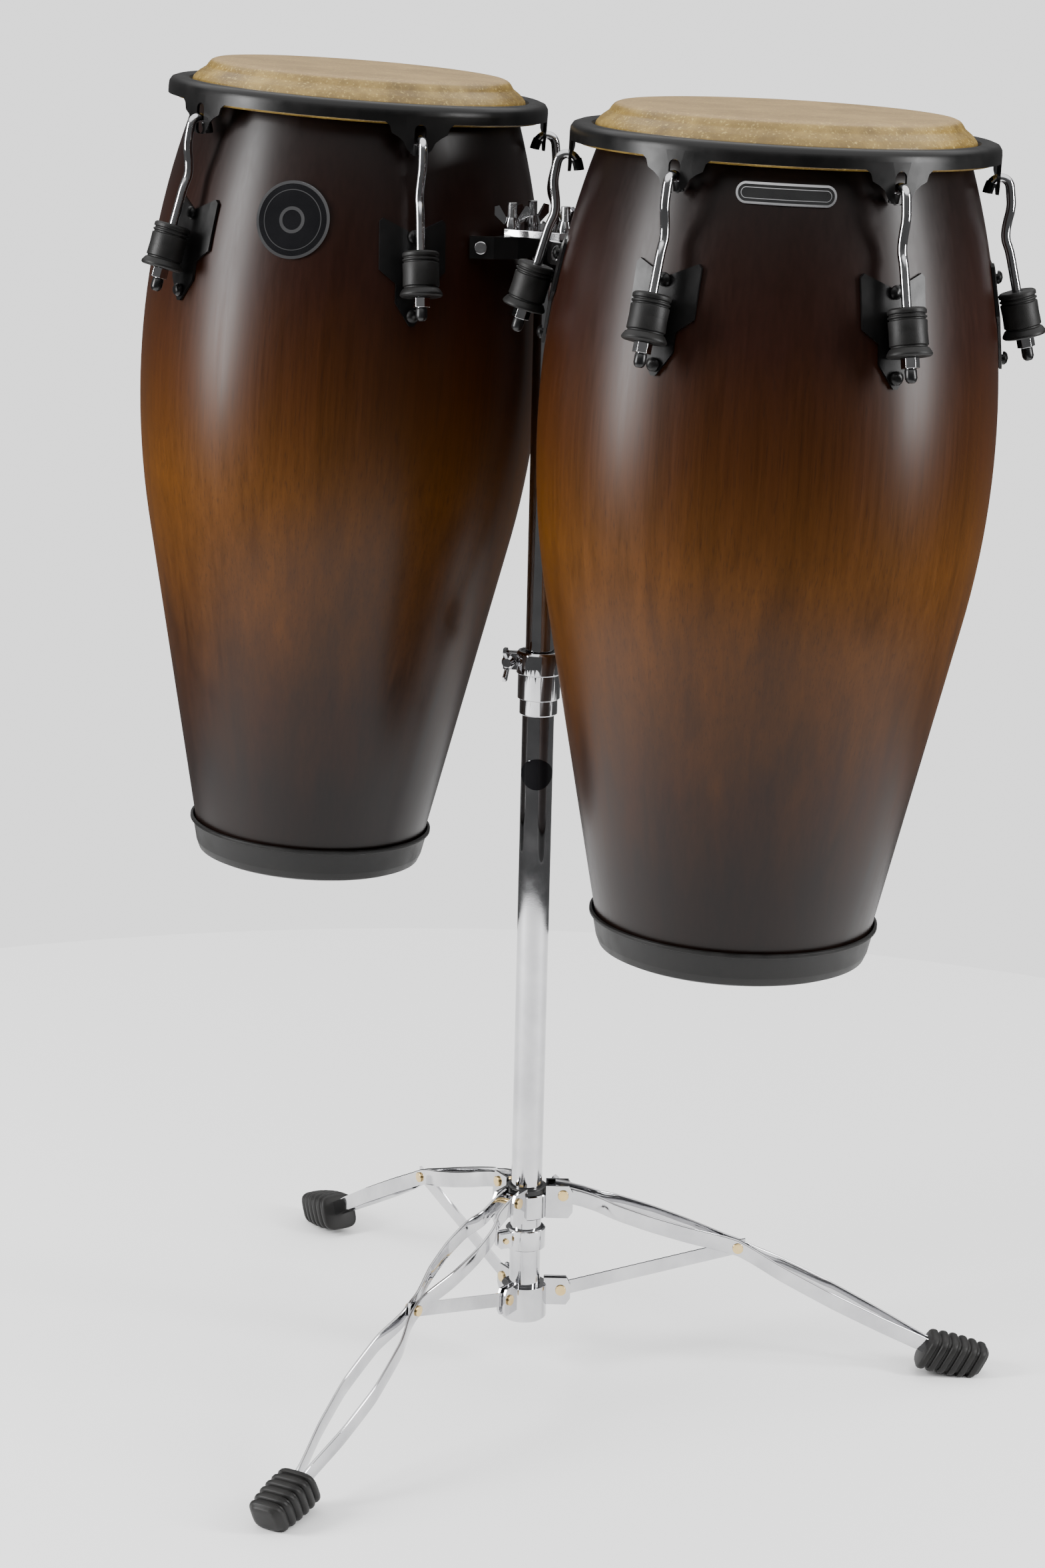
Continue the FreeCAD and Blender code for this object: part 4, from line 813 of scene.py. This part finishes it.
def makeFloor():
    bm = bmesh.new()
    bmesh.ops.create_circle(bm, cap_ends=True, segments=floorLook["sides"],
                            radius=floorLook["radius"])
    material, tree, shader = startMaterial("pale floor", floorLook["rough"])
    shader.inputs["Base Color"].default_value = floorLook["colour"]
    finishPiece("floor", toMesh("floor", bm), [material], 0)


def softbox(name, place, aim, wide, tall, power):
    lamp = bpy.data.lights.new(name, "AREA")
    lamp.shape = "RECTANGLE"
    lamp.size, lamp.size_y, lamp.energy = wide, tall, power
    holder = bpy.data.objects.new(name, lamp)
    holder.location = place
    holder.rotation_mode = "QUATERNION"
    holder.rotation_quaternion = (aim - place).to_track_quat("-Z", "Y")
    bpy.context.scene.collection.objects.link(holder)


def makeStudio():
    # the room lights from above; the camera itself sees plain pale paper behind the object
    world = bpy.data.worlds.new("soft room")
    bpy.context.scene.world = world
    world.use_nodes = True
    tree = world.node_tree
    sky = tree.nodes["Background"]
    sky.inputs["Strength"].default_value = studio["room"]
    way = tree.nodes.new("ShaderNodeTexCoord").outputs["Generated"]
    tree.links.new(ramp(tree, heightOf(tree, way), studio["sky"]), sky.inputs["Color"])
    paper = put(tree, "ShaderNodeBackground", {"Color": (1, 1, 1, 1), "Strength": studio["paper"]})
    seen = tree.nodes.new("ShaderNodeLightPath").outputs["Is Camera Ray"]
    both = put(tree, "ShaderNodeMixShader", {0: seen, 1: sky.outputs[0], 2: paper.outputs[0]})
    tree.links.new(both.outputs[0], tree.nodes["World Output"].inputs["Surface"])
    centre = Vector(studio["centre"])
    viewX, viewY = studio["viewFrom"]
    for name, swing, far, lift, wide, tall, power in studio["boxes"]:
        angle = math.atan2(viewY, viewX) + math.radians(swing)
        place = centre + Vector((math.cos(angle) * far, math.sin(angle) * far, lift))
        softbox(name, place, centre, wide, tall, power)


def makeCamera():
    ahead = Vector(cameraLook["ahead"]).normalized()
    right = ahead.cross(zAxis).normalized()
    up = right.cross(ahead)
    roll = cameraLook["roll"]
    side = right * math.cos(roll) + up * math.sin(roll)
    over = -right * math.sin(roll) + up * math.cos(roll)
    view = bpy.data.cameras.new("camera")
    view.sensor_fit = "VERTICAL"
    view.sensor_height = cameraLook["sensor"]
    view.lens = cameraLook["lens"]
    camera = bpy.data.objects.new("camera", view)
    turn = Matrix((side, over, -ahead)).transposed().to_4x4()
    camera.matrix_world = Matrix.Translation(cameraLook["place"]) @ turn
    bpy.context.scene.collection.objects.link(camera)
    bpy.context.scene.camera = camera


makeFloor()
makeStudio()
makeCamera()
print("studio made")
